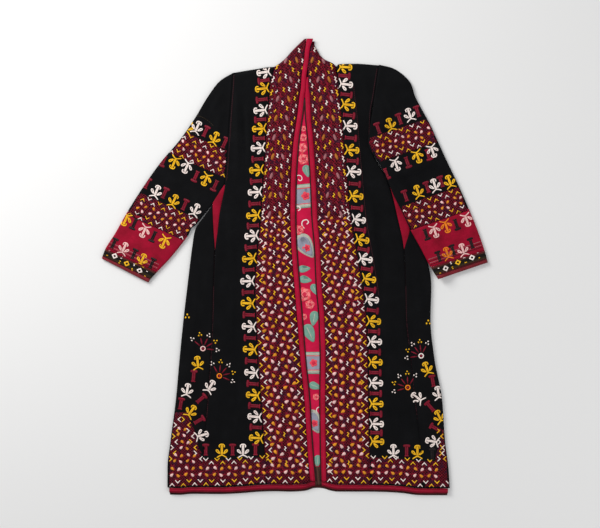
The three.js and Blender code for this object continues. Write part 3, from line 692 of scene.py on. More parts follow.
def groundHeight(side, x, y):
    # Height of what a sleeve lies on.
    if side == "left":
        return 0
    across = smooth((cutAt("right", "side")(y) + overBody["reach"] - x) / overBody["run"])
    upward = smooth((overBody["top"] - y) / overBody["fade"])
    return (cloth["sideLevel"] + cloth["gap"] + overBody["lift"]) * across * upward


# row step, columns on each face and round each fold, run in which the relief fades at the folds
tube = {"step": 9, "across": 34, "round": 7, "fade": 22}


def makeSleevePart(name, side, start, end, finish):
    # A stretch of the flattened tube between two places along its chords.
    chords = sleeveChords[side]
    table = [(i, *chord) for i, chord in enumerate(chords)]
    radius = cloth["sleeveHeight"] / 2
    steps = zip(chords[int(start):], chords[int(start) + 1:int(end) + 2])
    length = sum(math.dist(a[:2], b[:2]) for a, b in steps)
    places = rowsBetween(start, end, (end - start) / max(3, length / tube["step"]))
    run = tube["across"]
    bends = [math.pi * i / tube["round"] for i in range(1, tube["round"])]
    sections = []
    for place in places:
        outX, outY, inX, inY = (along(table, place, c) for c in range(1, 5))
        size = math.hypot(inX - outX, inY - outY)
        ax, ay = (inX - outX) / size, (inY - outY) / size
        flat = size - 2 * radius
        path = []
        for way, near, far in ((1, radius, size - radius), (-1, size - radius, radius)):
            path += [(near + way * flat * i / (run - 1), 0, way) for i in range(run)]
            path += [(far, way * math.sin(a), way * math.cos(a)) for a in bends]
        section = []
        for depth in (0, cloth["wall"]):
            points = []
            for s, nx, nz in path:
                reach = s + nx * (radius - depth)
                x, y = outX + ax * reach, outY + ay * reach
                ride = 0
                if nz == 1:
                    ride = relief(x, y) * smooth(s / tube["fade"]) * smooth((size - s) / tube["fade"])
                points.append((x, y, radius + nz * (radius - depth) + groundHeight(side, x, y) + ride))
            section.append(points)
        sections.append(tuple(section))
    return wallShell(name, sections, ring=True, material=finishes[finish])


# chords where the parts of a sleeve meet, then each part: key, name, gap before it, finish
sleeveJoins = {"left": (0, 7, 9, 10, 11), "right": (0, 10, 12, 13, 14)}
sleeveGap = 0.012
sleeveParts = [
    ("upper", "sleeveUpperCloth", 0, "black"), ("lower", "sleeveLowerCloth", sleeveGap, "red"),
    ("cuff", "cuffBandCloth", sleeveGap * 1.4, "cuffStripe"),
    ("piping", "cuffPipingCloth", sleeveGap * 3, "piping"),
]


def makeSleeve(side):
    joins = sleeveJoins[side]
    return {key: makeSleevePart(f"{name}_{side}", side, start + gap, end, finish)
            for start, end, (key, name, gap, finish) in zip(joins, joins[1:], sleeveParts)}


def flatSections(fromX, toX, rows, bottom, wall, step, follow, top=None):
    # Sections of a sheet that lies flat, with what top adds to its height.
    count = max(3, round(max(abs(toX(r) - fromX(r)) for r in rows) / step))
    sections = []
    for row in rows:
        outer, inner = [], []
        for i in range(count + 1):
            x = fromX(row) + (toX(row) - fromX(row)) * i / count
            y = placed(x, row) if follow else row
            rise = top(x, y) if top else 0
            outer.append((x, y, bottom + wall + rise))
            inner.append((x, y, bottom + rise * puffShape["inner"]))
        sections.append((outer, inner))
    return sections


# first row, last row and step of each sheet, then its step across
backSheets = {
    "panel": ((firstRow, lastRow, 24), 26), "nape": ((564, 514, 8), 10),
    "lining": ((440, -498.7, 8), 4), "facing": ((-499, -544, 6), 3),
}
napeSeam = {"inset": 1, "right": 50}         # the nape's right end stays at this X or farther out
liningUnder = 16                             # how far the lining reaches under the fronts
# unevenness of the lining where it shows: inset and run at its edges, size of the waves, height
puffShape = {"inset": 7, "run": 6, "across": 1.5, "along": 0.5, "size": 26, "plane": 5,
             "lift": 0.4, "rise": 0.5, "inner": 0.6}


def makeBack():
    left, right = cutAt("left", "seam"), cutAt("right", "seam")
    leftEdge, rightEdge = cutAt("left", "edge"), cutAt("right", "edge")
    bottom = cloth["wall"] + cloth["gap"]

    def puff(x, y):
        inset, run = puffShape["inset"], puffShape["run"]
        inside = smooth((x - leftEdge(y) - inset) / run) * smooth((rightEdge(y) - inset - x) / run)
        place = Vector((x * puffShape["across"], y * puffShape["along"], puffShape["plane"]))
        slow = noise.noise(place / puffShape["size"])
        return inside * max(puffShape["lift"] + slow * puffShape["rise"], 0)

    def napeLeft(row):
        return along(neckFold["left"], row, 1) + napeSeam["inset"]

    def napeRight(row):
        return max(along(neckFold["right"], row, 1), napeSeam["right"]) - napeSeam["inset"]

    def sheet(key, name, fromX, toX, finish, follow=False, lining=False):
        rows, step = backSheets[key]
        level = (bottom, cloth["liningWall"]) if lining else (0, cloth["wall"])
        rise = puff if lining else None
        sections = flatSections(fromX, toX, rowsBetween(*rows), *level, step, follow, rise)
        return wallShell(name, sections, material=finishes[finish])

    shown = (lambda r: leftEdge(r) - liningUnder, lambda r: rightEdge(r) + liningUnder)
    return {
        "panel": sheet("panel", "backPanelCloth", lambda r: left(r) + halfSeam,
                       lambda r: right(r) - halfSeam, "black", follow=True),
        "nape": sheet("nape", "backNeckbandCloth", napeLeft, napeRight, "worked"),
        "lining": sheet("lining", "backLiningCloth", *shown, "print", lining=True),
        "facing": sheet("facing", "hemFacingCloth", *shown, "facingStripe", lining=True),
    }


fronts = {side: makeFronts(side) for side in sides}
gores = {side: makeGore(side) for side in sides}
gussets = {side: makeGusset(side) for side in sides}
sleeves = {side: makeSleeve(side) for side in sides}
back = makeBack()
print("cloth laid out")


# braid: its profile as shares of half its width and of its height
braidShape = [(-1, 0.25), (-0.86, 0.72), (-0.5, 0.94), (0, 1), (0.5, 0.94), (0.86, 0.72), (1, 0.25)]


def braidShell(name, places, across, bottomAt, height, finish):
    # Braid through places of (x, y, width), its width along X or Y.
    sections = []
    for x0, y0, width in places:
        outer, inner = [], []
        for s, top in braidShape:
            x = x0 + (s * width / 2 if across == "x" else 0)
            y = y0 + (s * width / 2 if across == "y" else 0)
            bottom = bottomAt(x, y)
            outer.append((x, y, bottom + height * top))
            inner.append((x, y, bottom))
        sections.append((outer, inner))
    return wallShell(name, sections, material=finishes[finish])


# the right edging above the crossing, tucked in beside the left one: height, centre, width
wedgeRows = [(474, 31.6, 3.4), (462, 31.4, 5.6), (450, 31.2, 7.2), (438, 31.6, 10), (431, 32, 11.6)]
# height, shares of the cloth's relief that it takes, row steps, how far the hem's end stays in
braidLay = {"height": 2.6, "front": 0.9, "hem": 0.5, "step": 7, "peakStep": 4, "backStep": 8, "endIn": 5}
# dark strip beside the front edging, up to a height: the braid's brown edge with painted shadow that the
# front casts on the lining
selvageShadowLay = {"top": 424, "offset": 1.1, "width": 4.4, "height": 1.5, "sink": 0.4}


def hemMiddle(x, peek=0):
    # Y of the middle of a hem's braid, peek above the back's.
    return along(hemLine, x, 1) + peek + cloth["braid"] / 2


def makeBraids(side):
    sign, top, peak = sides[side]["sign"], sides[side]["braidTop"], sides[side]["peak"]
    edge, neck = cutAt(side, "edge"), neckFold[side]
    rows = rowsBetween(top, firstRow + 1, braidLay["peakStep"]) if top > firstRow else []
    rows += rowsBetween(min(top, firstRow), lastRow, braidLay["step"])
    places = [(x, row, width) for row, x, width in wedgeRows] if side == "right" else []
    for row in rows:
        x = along(neck, row, 2) if row > firstRow else edge(row)
        places.append((x, row if row > firstRow else placed(x, row), edgeWidth(row, peak)))
    base = cloth["frontLevel"] - cloth["wall"]
    front = braidShell(f"frontBraid_{side}", places, "x",
                       lambda x, y: base + relief(x, y) * braidLay["front"], braidLay["height"], "braid")
    # a dark strip along the edging's inner side stands in for its brown edge and, as painted shadow, for the
    # shade the front throws on the lining
    shadowStripBase = base - selvageShadowLay["sink"]
    inner = [(x - sign * (width / 2 + selvageShadowLay["offset"]), y, selvageShadowLay["width"])
             for x, y, width in places if y < selvageShadowLay["top"]]
    selvageAndShadow = braidShell(f"selvage_{side}", inner, "x",
                         lambda x, y: shadowStripBase + relief(x, y) * braidLay["front"],
                         selvageShadowLay["height"], "selvageAndShadow")
    openEnd = edge(lastRow) - sign * cloth["braid"] / 2
    outerEnd = cutAt(side, "side")(lastRow) - sign * braidLay["endIn"]

    def hemLevel(x, y):
        return levelAt(x, openEnd) - cloth["wall"] + relief(x, y) * braidLay["hem"]

    low, high = sorted((openEnd, outerEnd))
    places = [(x, hemMiddle(x, hemPeek), cloth["braid"]) for x in rowsBetween(low, high, braidLay["step"])]
    hem = braidShell(f"hemBraid_{side}", places, "y", hemLevel, braidLay["height"], "hemBraid")
    return front, hem, selvageAndShadow


braids = {side: makeBraids(side) for side in sides}
backPlaces = [(x, hemMiddle(x), cloth["braid"]) for x in rowsBetween(*hemEnds, braidLay["backStep"])]
backHem = braidShell("hemBraid_back", backPlaces, "y", lambda x, y: 0, cloth["wall"], "backHem")
print("braids sewn on")


# needlework shapes
ribbonEnd = 0.55                 # a cord's open end is this share of its full size
domeShoulder = 0.85              # share of a dome's height at its inner ring


def roundRibbon(line, width, height, closed=False):
    # Half-round cord of stitches along a line, closed underneath. Returns points, faces, uv.
    profile = [(-1, 0), (-0.72, 0.72), (0, 1), (0.72, 0.72), (1, 0)]
    count = len(profile)
    points, faces, uv = [], [], []
    travel = 0
    for i, place in enumerate(line):
        if closed:
            before, after = line[i - 1], line[(i + 1) % len(line)]
        else:
            before, after = line[max(i - 1, 0)], line[min(i + 1, len(line) - 1)]
        dx, dy = after[0] - before[0], after[1] - before[1]
        size = math.hypot(dx, dy) or 1
        if i:
            travel += math.dist(place[:2], line[i - 1][:2])
        end = ribbonEnd if not closed and i in (0, len(line) - 1) else 1
        half = (place[2] if len(place) > 2 else width) / 2 * end
        for s, z in profile:
            x, y = place[0] - dy / size * s * half, place[1] + dx / size * s * half
            points.append((x, y, z * height * end))
            uv.append((travel, s))
    spans = len(line) if closed else len(line) - 1
    for i in range(spans):
        a, b = i * count, ((i + 1) % len(line)) * count
        for k in range(count):
            faces.append((a + k, a + (k + 1) % count, b + (k + 1) % count, b + k))
    if not closed:
        faces.append(tuple(range(count))[::-1])
        end = (len(line) - 1) * count
        faces.append(tuple(end + k for k in range(count)))
    return points, faces, uv


def dome(outline, height, inset=0.62):
    # Padded satin stitch: a low dome over an outline.
    count = len(outline)
    cx = sum(p[0] for p in outline) / count
    cy = sum(p[1] for p in outline) / count
    points = [(x, y, 0) for x, y in outline]
    points += [(cx + (x - cx) * inset, cy + (y - cy) * inset, height * domeShoulder) for x, y in outline]
    points.append((cx, cy, height))
    uv = [(p[1], p[0]) for p in points]
    faces = [tuple(range(count))[::-1]]
    for i in range(count):
        j = (i + 1) % count
        faces.append((i, j, count + j, count + i))
        faces.append((count + i, count + j, 2 * count))
    return points, faces, uv


def egg(cx, cy, length, width, turn=0, sides=8, blunt=0.25):
    # Outline of a drop or an oval: blunt at one end.
    ring = []
    c, s = math.cos(turn), math.sin(turn)
    for i in range(sides):
        a = 2 * math.pi * i / sides
        x, y = width / 2 * math.sin(a) * (1 + blunt * math.cos(a)), length / 2 * math.cos(a)
        ring.append((cx + x * c - y * s, cy + x * s + y * c))
    return ring[::-1]


def curve(line, steps=3):
    # Points of a smooth line through a few places.
    ends = [line[0]] + list(line) + [line[-1]]
    smoothLine = []
    for i in range(1, len(ends) - 2):
        p0, p1, p2, p3 = ends[i - 1:i + 3]
        for k in range(steps):
            t = k / steps
            smoothLine.append(tuple(
                0.5 * (2 * p1[c] + (p2[c] - p0[c]) * t + (2 * p0[c] - 5 * p1[c] + 4 * p2[c] - p3[c]) * t**2
                       + (3 * p1[c] - p0[c] - 3 * p2[c] + p3[c]) * t**3) for c in (0, 1)))
    return smoothLine + [line[-1]]


def motif(name, *shapes):
    # Joins a few shapes into one small mesh, in its own frame, +Y outwards.
    points, faces, uv = [], [], []
    for shapePoints, shapeFaces, shapeUv in shapes:
        start = len(points)
        points += shapePoints
        faces += [tuple(start + k for k in face) for face in shapeFaces]
        uv += [(u * mm, v * mm) for u, v in shapeUv]
    return meshPiece(f"motif_{name}", points, faces, uv)


def corded(line, width, height=1.1, steps=3):
    return roundRibbon(curve(line, steps), width, height)


tulipCap = [(-4.8, 8.6), (-6.5, 9.8), (-6.3, 13.2), (-3.6, 15.4), (0, 16.0), (3.6, 15.4), (6.3, 13.2),
            (6.5, 9.8), (4.8, 8.6)]
petalLean = math.radians(44)
bead = {"width": 4.5, "waist": 2.4, "height": 1.3}      # one small stitch, and the waist between two


def petal(side):
    # Closed loop of cord that leans away from the stem.
    return roundRibbon(egg(side * 9.6, -3.4, 13.2, 4.2, -side * petalLean, 10, 0.5), 3.3, 1.2, True)


def beaded(places):
    # Small stitches in a zigzag, joined by thinner waists.
    line = [(*places[0], bead["width"])]
    for a, b in zip(places, places[1:]):
        line.append(((a[0] + b[0]) / 2, (a[1] + b[1]) / 2, bead["waist"]))
        line.append((*b, bead["width"]))
    return roundRibbon(line, bead["width"], bead["height"])


whirlArm = ((1.5, 0), (9, 0.25), (16.5, 0.2))          # distance from the centre, bend
charts = {
    "tulip": [
        corded([(-13, -19.0), (-7.2, -15.2), (0, -12.4), (7.2, -15.2), (13, -19.0)], 3.4),
        corded([(-1.4, -12), (-1.5, 0), (-1.4, 15)], 3.1), corded([(1.4, -12), (1.5, 0), (1.4, 15)], 3.1),
        petal(1), petal(-1), corded(tulipCap, 3.4)],
    "comb": [
        corded([(-8.8, 11.2), (-4.5, 12.2), (0, 12.5), (4.5, 12.2), (8.8, 11.2)], 6.8),
        corded([(-2.3, 10), (-2.2, 0), (-2.2, -13.2)], 4.7),
        corded([(2.3, 10), (2.2, 0), (2.2, -13.2)], 4.7),
        corded([(-5.6, -14.6), (0, -13.4), (5.6, -14.6)], 4.4)],
    "drop": [dome(egg(0, 0, 12.4, 7.9, blunt=0.5), 1.5)],
    "seed": [dome(egg(0, 0, 6.4, 5.0, sides=7), 1.3)],
    "zig": [beaded([(-1.9, 6.3), (1.9, 2.2), (-1.9, -2.0), (1.9, -6.2)])],
    "vee": [beaded([(-6.2, 3.6), (0, -3.2), (6.2, 3.6)])],
    "longZig": [beaded([(-1.6, 8.8), (1.8, 4.4), (-1.8, 0.2), (1.2, -4.4), (-2.6, -8.4)])],
    "dash": [dome(egg(0, 0, 8.4, 4.4, math.pi / 2, 8, 0.2), 1.2)],
    "lozenge": [dome(egg(0, 0, 20, 8.2, blunt=0), 1.5)],
    "dots": [dome(egg(5 * math.cos(a), 5 * math.sin(a), 6, 5, sides=7), 1.4)
             for a in (math.pi / 2, math.pi * 7 / 6, math.pi * 11 / 6)],
    "whirl": [
        roundRibbon([(r * math.cos(a + bend), r * math.sin(a + bend)) for r, bend in whirlArm], 3.0, 0.8)
        for a in (k * math.pi / 2 + 1.25 for k in range(4))],
    "rung": [roundRibbon([(-8, -4), (-3, 2.4), (1, -2.4), (7, 4)], 2.8, 0.7)],
    "stitch": [dome(egg(0, 0, 6.0, 2.2, blunt=0, sides=6), 0.8)],
    "rib": [roundRibbon([(-5.4, -1.5), (0, 0), (5.4, 1.5)], 2.0, 0.55)],
    "ray": [roundRibbon([(0, 10), (0, 18), (0, 27)], 3.8, 0.8)],
    "ringlet": [roundRibbon([(5.6 * math.cos(k * math.pi / 5), 5.6 * math.sin(k * math.pi / 5))
                             for k in range(10)], 3.2, 1.2, True)],
    "square": [roundRibbon(
        [(-6.4, 0, 5.8), (-3.4, 3.2, 3.8), (0, 6.0, 5.6), (3.4, 3.2, 3.8), (6.4, 0, 5.8), (3.4, -3.2, 3.8),
         (0, -6.0, 5.6), (-3.4, -3.2, 3.8)], 4.4, 1.1, True)],
}
motifs = {name: motif(name, *shapes) for name, shapes in charts.items()}
print("needlework shapes charted")


# laying stitches
rayHeight = 0.2                  # metres: points look down at the cloth from here


def layTree():
    # Instances a shape on each place, then lets every point down onto the cloth below it.
    tree = bpy.data.node_groups.new("layOnCloth", "GeometryNodeTree")
    socket = tree.interface.new_socket
    kinds = {"Geometry": "Geometry", "Shape": "Object", "Cloth": "Object", "Sink": "Float",
             "Finish": "Material"}
    sockets = {name: socket(name, in_out="INPUT", socket_type=f"NodeSocket{kind}")
               for name, kind in kinds.items()}
    socket("Geometry", in_out="OUTPUT", socket_type="NodeSocketGeometry")
    new, link = tree.nodes.new, tree.links.new
    start, end = new("NodeGroupInput"), new("NodeGroupOutput")

    def named(name, kind="FLOAT"):
        node = new("GeometryNodeInputNamedAttribute")
        node.data_type = kind
        node.inputs["Name"].default_value = name
        return node.outputs["Attribute"]

    shape, ground = new("GeometryNodeObjectInfo"), new("GeometryNodeObjectInfo")
    link(start.outputs["Shape"], shape.inputs["Object"])
    link(start.outputs["Cloth"], ground.inputs["Object"])
    turn = new("ShaderNodeCombineXYZ")
    link(named("turn"), turn.inputs["Z"])
    place = new("GeometryNodeInstanceOnPoints")
    link(start.outputs["Geometry"], place.inputs["Points"])
    link(shape.outputs["Geometry"], place.inputs["Instance"])
    link(turn.outputs[0], place.inputs["Rotation"])
    link(named("size"), place.inputs["Scale"])
    real = new("GeometryNodeRealizeInstances")
    link(place.outputs["Instances"], real.inputs["Geometry"])
    where, split = new("GeometryNodeInputPosition"), new("ShaderNodeSeparateXYZ")
    link(where.outputs[0], split.inputs[0])
    above = new("ShaderNodeCombineXYZ")
    above.inputs["Z"].default_value = rayHeight
    link(split.outputs["X"], above.inputs["X"])
    link(split.outputs["Y"], above.inputs["Y"])
    ray = new("GeometryNodeRaycast")
    ray.inputs["Ray Direction"].default_value = (0, 0, -1)
    ray.inputs["Ray Length"].default_value = 1
    link(ground.outputs["Geometry"], ray.inputs["Target Geometry"])
    link(above.outputs[0], ray.inputs["Source Position"])
    hit = new("ShaderNodeSeparateXYZ")
    link(ray.outputs["Hit Position"], hit.inputs[0])
    lifted = combined(tree, "ADD", hit.outputs["Z"], split.outputs["Z"])
    sunk = combined(tree, "SUBTRACT", lifted, start.outputs["Sink"])
    landed = new("ShaderNodeCombineXYZ")
    for axis, source in (("X", split.outputs["X"]), ("Y", split.outputs["Y"]), ("Z", sunk)):
        link(source, landed.inputs[axis])
    missed = new("FunctionNodeBooleanMath")
    missed.operation = "NOT"
    link(ray.outputs["Is Hit"], missed.inputs[0])
    settle, trim = new("GeometryNodeSetPosition"), new("GeometryNodeDeleteGeometry")
    link(landed.outputs[0], settle.inputs["Position"])
    finish = new("GeometryNodeSetMaterial")
    link(start.outputs["Finish"], finish.inputs["Material"])
    keep = new("GeometryNodeStoreNamedAttribute")
    keep.data_type = "BOOLEAN"
    keep.domain = "POINT"
    keep.inputs["Name"].default_value = "missed"
    link(missed.outputs[0], keep.inputs["Value"])
    link(real.outputs[0], keep.inputs["Geometry"])
    link(keep.outputs[0], settle.inputs["Geometry"])
    link(settle.outputs[0], trim.inputs["Geometry"])
    link(named("missed", "BOOLEAN"), trim.inputs["Selection"])
    link(trim.outputs[0], finish.inputs["Geometry"])
    link(finish.outputs[0], end.inputs["Geometry"])
    return tree, sockets


layGroup, laySockets = layTree()


def joinedGround(name, *pieces):
    # One mesh of several pieces, for stitches to lie on.
    points, faces = [], []
    for piece in pieces:
        start = len(points)
        points += [tuple(v.co / mm) for v in piece.data.vertices]
        faces += [tuple(start + k for k in face.vertices) for face in piece.data.polygons]
    joined = meshPiece(name, points, faces)
    joined.hide_render = True
    return joined


def lay(name, shape, places, ground, finish, sink):
    # Places are (x, y, turn, size). Returns a piece whose modifier lays the shape on each place.
    mesh = bpy.data.meshes.new(name)
    mesh.from_pydata([(x * mm, y * mm, 0) for x, y, _, _ in places], [], [])
    for attribute, column in (("turn", 2), ("size", 3)):
        layer = mesh.attributes.new(attribute, "FLOAT", "POINT")
        layer.data.foreach_set("value", [float(place[column]) for place in places])
    piece = bpy.data.objects.new(name, mesh)
    bpy.context.collection.objects.link(piece)
    modifier = piece.modifiers.new("lay", "NODES")
    modifier.node_group = layGroup
    values = {"Shape": motifs[shape], "Cloth": ground, "Sink": sink * mm, "Finish": finishes[finish]}
    for key, value in values.items():
        modifier[laySockets[key].identifier] = value
    return piece


def settled(name, pieces):
    # Evaluates the laid pieces and joins them into one plain mesh.
    graph = bpy.context.evaluated_depsgraph_get()
    points, faces, uv, slots = [], [], [], []
    materials = []
    for piece in pieces:
        mesh = bpy.data.meshes.new_from_object(piece.evaluated_get(graph), depsgraph=graph)
        start = len(points)
        points += [tuple(v.co / mm) for v in mesh.vertices]
        material = next(entry for entry in mesh.materials if entry)
        if material not in materials:
            materials.append(material)
        corner = {}
        layer = mesh.attributes["UVMap"]
        for loop in mesh.loops:
            corner[loop.vertex_index] = tuple(layer.data[loop.index].vector)
        uv += [corner.get(k, (0, 0)) for k in range(len(mesh.vertices))]
        faces += [tuple(start + k for k in face.vertices) for face in mesh.polygons]
        slots += [materials.index(material)] * len(mesh.polygons)
        piece.modifiers.clear()
        bpy.data.objects.remove(piece)
        bpy.data.meshes.remove(mesh)
    joined = meshPiece(name, points, faces, uv)
    for material in materials:
        joined.data.materials.append(material)
    joined.data.polygons.foreach_set("material_index", slots)
    return joined


bodyTop = joinedGround("bodyTop", *[fronts[s][p] for s in sides for p in ("strip", "panel", "neckband")],
                 *[gores[s] for s in sides], *[gussets[s] for s in sides])
sleeveTop = {side: joinedGround(f"sleeveTop_{side}", *sleeves[side].values()) for side in sides}
liningTop = joinedGround("liningTop", back["lining"], back["facing"])
braidTop = joinedGround("braidTop", *[b for s in sides for b in braids[s]])

# work[area][(shape, colour, layer)] = list of (x, y, turn, size)
work = {}
smallShapes = ("drop", "vee", "rung", "whirl", "zig")


def put(area, shape, colour, x, y, turn=0.0, size=1.0, layer=0):
    # Charts one figure; a small one that would hang over the edge of a sleeve is left out.
    if area.startswith("sleeve") and shape in smallShapes and not onSleeve(area.split("_")[1], x, y):
        return
    work.setdefault(area, {}).setdefault((shape, colour, layer), []).append((x, y, turn, size))


pairs = ("ivory", "yellow")
dropPairs = ("shell", "honey")
lozengePairs = ("rosewood", "amber")
dotPair = ("ivory", "ivory")
wheel = {"radius": 11.2, "turn": math.radians(30), "dropLean": 0.12, "whirlTurn": 0.2}
chevron = {"pitch": 28.2, "outer": 5, "inner": 13.5, "size": 0.98}


def pinwheel(area, x, y, phase, turn=0.0, size=1.0):
    # Four drops round a centre, the colours taking turns.
    for k in range(4):
        a = turn + wheel["turn"] + k * math.pi / 2
        reach = wheel["radius"] * size
        put(area, "drop", dropPairs[(k + phase) % 2], x + reach * math.cos(a), y + reach * math.sin(a),
            a - math.pi / 2 + wheel["dropLean"], size)
    put(area, "whirl", "wine", x, y, turn + wheel["whirlTurn"], size)


def leanOf(xAt, y, reach):
    # Angle by which a line across the heights leans at a height.
    return math.atan2(xAt(y - reach) - xAt(y + reach), 2 * reach)


def border(area, edgeAt, start, stop, lead=1, phase=0, size=1.0):
    # Chevrons in staggered pairs along an edge; edgeAt gives x, y and the direction of the field.
    place, k = start, phase
    while place < stop:
        for step, depth, turn in ((0, chevron["outer"], 0), (0.5, chevron["inner"], math.pi)):
            x, y, inward = edgeAt(place + lead * chevron["pitch"] * step)
            put(area, "vee", pairs[k % 2], x + depth * math.cos(inward), y + depth * math.sin(inward),
                inward + math.pi / 2 + turn, chevron["size"] * size)
        place += chevron["pitch"]
        k += 1


# the strip's net: first and last row, pitch above and below a height, width at full size, largest
# size, pinwheel columns, zigzag row, column and size, rung columns and rows with their colours,
# where the borders begin below the chest and end
net = {
    "first": 11.5, "last": -476, "split": -60, "pitch": 33.5, "lowPitch": 35.4, "width": 98, "largest": 1.06,
    "wheels": (0.295, 0.70), "zig": (0.46, 0.49, 0.92), "rungs": (0.17, 0.40, 0.59, 0.83),
    "rungRows": ((0.2, "wine"), (0.53, "plum"), (0.87, "wine")), "rungTurn": 1.1, "rungSize": 0.95,
    "outerSpan": (8, 486), "innerSpan": (6, 520), "leanReach": 40,
}


def lowerField(side):
    # Diagonal net of pinwheels and zigzags on the strip below the chest.
    sign = sides[side]["sign"]
    edge, band = cutAt(side, "edge"), cutAt(side, "band")
    area = f"field_{side}"
    towards = 0 if side == "left" else math.pi

    def across(y, s):
        outer, inner = band(y), edge(y) + sign * (halfBraid + 1)
        return outer + (inner - outer) * s

    y, k = chest - net["first"], 1
    while y > net["last"]:
        step = net["pitch"] if y > net["split"] else net["lowPitch"]
        size = min(abs(across(y, 1) - across(y, 0)) / net["width"], net["largest"])
        lean = leanOf(lambda row: across(row, 0.5), y, net["leanReach"])
        for s in net["wheels"]:
            pinwheel(area, across(y, s), y, k % 2, -lean, size)
        down, s, size = net["zig"]
        middle = y - step * down
        put(area, "zig", pairs[(k + 1) % 2], across(middle, s), middle, -lean, size)
        for s in net["rungs"]:
            turn = net["rungTurn"] if (k + (s > 0.5)) % 2 else -net["rungTurn"]
            for down, tone in net["rungRows"]:
                row = y - step * down
                put(area, "rung", tone, across(row, s), row, turn, net["rungSize"])
        y -= step
        k += 1

    def outerEdge(place):
        return band(-place) - sign, -place, towards

    def innerEdge(place):
        return edge(-place) + sign * (halfBraid - 1), -place, math.pi - towards

    for edgeAt, key, lead in ((outerEdge, "outerSpan", -sign), (innerEdge, "innerSpan", sign)):
        first, last = net[key]
        border(area, edgeAt, first - chest, last, lead)


# neckband columns: share of the width, first height, pitch, shape, colours, turn and size
neckColumns = [
    (0.065, 8, 33, "longZig", pairs, -0.3, 0.95), (0.10, 25, 33, "seed", dotPair, 0, 0.5),
    (0.23, 20, 48, "zig", pairs, -0.6, 0.72), (0.285, 2, 48, "lozenge", lozengePairs, -0.35, 1.0),
    (0.465, 16, 33, "zig", pairs, 0.1, 0.95), (0.64, 26, 48, "zig", pairs, 0.2, 0.95),
    (0.665, 2, 48, "lozenge", lozengePairs[::-1], 0.3, 0.95),
    (0.865, 12, 31, "zig", pairs, 0.05, 0.85), (0.935, 25, 31, "zig", pairs, -0.1, 0.62),
    (0.17, 6, 12, "rung", ("wine", "plum"), 1.2, 1.0), (0.375, 0, 12, "rung", ("maroon", "wine"), -1.2, 1.1),
    (0.555, 6, 12, "rung", ("plum", "wine"), 1.2, 1.0),
    (0.765, 0, 12, "rung", ("wine", "maroon"), -1.2, 1.0),
]
neckTop = 560
neckMargin = 4
collarLean = 0.32                # how far a column runs sideways for each millimetre above leanFrom
leanFrom = 470


def upperField(side):
    # Long lozenges and zigzags on the neckband.
    sign = sides[side]["sign"]
    edge, band = cutAt(side, "edge"), cutAt(side, "band")
    neck = neckFold[side]
    area = f"collar_{side}"

    def ends(y):
        if y > firstRow:
            return along(neck, y, 1), along(neck, y, 2)
        return band(y), edge(y)

    def placeOf(s, y):
        outer, inner = ends(min(y, leanFrom))
        x = outer + (inner + sign * (halfBraid + 1) - outer) * s
        return x - max(y - leanFrom, 0) * collarLean * sign

    def fits(x, y):
        outer, inner = ends(y)
        return min(abs(x - outer), abs(x - inner)) > neckMargin and min(outer, inner) < x < max(outer, inner)

    for s, first, pitch, shape, colours, turn, size in neckColumns:
        y, k = chest + first, 0
        while y < neckTop:
            x = placeOf(s, y)
            if fits(x, y):
                put(area, shape, colours[k % 2], x, y, turn if sign < 0 else -turn, size)
            y += pitch
            k += 1


tulipHeights = {
    "left": [486, 445, 391, 345, 297, 242, 187, 129, 78, 21, -35, -90, -148, -205, -263, -319, -373, -426],
    "right": [499, 456, 405, 352, 292, 238, 177, 118, 68, 20, -30, -81, -135, -186, -237, -289, -341, -391,
              -435],
}
tulipFirst = {"left": 0, "right": 1}
# from the seam to the middle of a figure, and the height above which the tulips no longer follow it
beside = {"tulip": 19.5, "comb": 18.5, "highest": 470, "leanReach": 30, "combSize": 0.98}


def tulipColumn(side):
    # Tulips and combs in turn on the plain cloth beside a strip and a neckband.
    sign = sides[side]["sign"]
    band = cutAt(side, "band")
    heights = tulipHeights[side]
    for i, y in enumerate(heights):
        turn = -sign * math.pi / 2 - leanOf(band, y, beside["leanReach"])
        x = band(min(y, beside["highest"])) + sign * beside["tulip"]
        put("tulips", "tulip", pairs[(i + tulipFirst[side]) % 2], x, y, turn)
        if i + 1 < len(heights):
            middle = (y + heights[i + 1]) / 2
            x = band(middle) + sign * beside["comb"]
            put("tulips", "comb", "maroon", x, middle, turn, beside["combSize"])


# motifs at the lower corners: shape, colour, x, y, turn in degrees
corners = [
    ("comb", "maroon", -222, -455, 0), ("tulip", "yellow", -182, -457, 0), ("comb", "maroon", -155, -455, 0),
    ("tulip", "ivory", -129, -457, 0), ("comb", "maroon", -98, -454, 0), ("tulip", "ivory", -231, -419, -75),
    ("comb", "maroon", -238, -382, -60), ("tulip", "yellow", -258, -359, -35),
    ("comb", "maroon", -284, -340, -10), ("comb", "maroon", -233, -328, -50),
    ("tulip", "ivory", -268, -306, -10), ("tulip", "ivory", -210, -297, -30),
    ("comb", "maroon", -252, -271, -5), ("tulip", "yellow", -242, -238, 5),
    ("dots", "yellow", -268, -123, 0),
    ("tulip", "ivory", 246, -458, 0), ("comb", "maroon", 279, -457, 0), ("tulip", "yellow", 306, -460, 0),
    ("comb", "dark", 343, -466, 0), ("tulip", "ivory", 342, -434, 80), ("comb", "maroon", 350, -401, 60),
    ("tulip", "yellow", 360, -372, 25), ("comb", "maroon", 337, -347, 40), ("tulip", "ivory", 305, -325, 55),
    ("tulip", "ivory", 358, -313, 10), ("comb", "maroon", 344, -283, 10), ("tulip", "yellow", 329, -252, 20),
    ("dots", "yellow", 333, -138, 0),
]
# fans: centre x, y, colour, then the first and last ray in degrees from straight up
fans = [(-229, -203, "pink", 48, -96), (-188, -271, "orange", 30, -112),
        (315, -221, "ivory", 98, -26), (282, -300, "orange", 106, -32)]
fanShape = {"rays": 5, "reach": 36, "dotSize": 0.8, "seedSize": 0.8}
cornerSize = 0.96


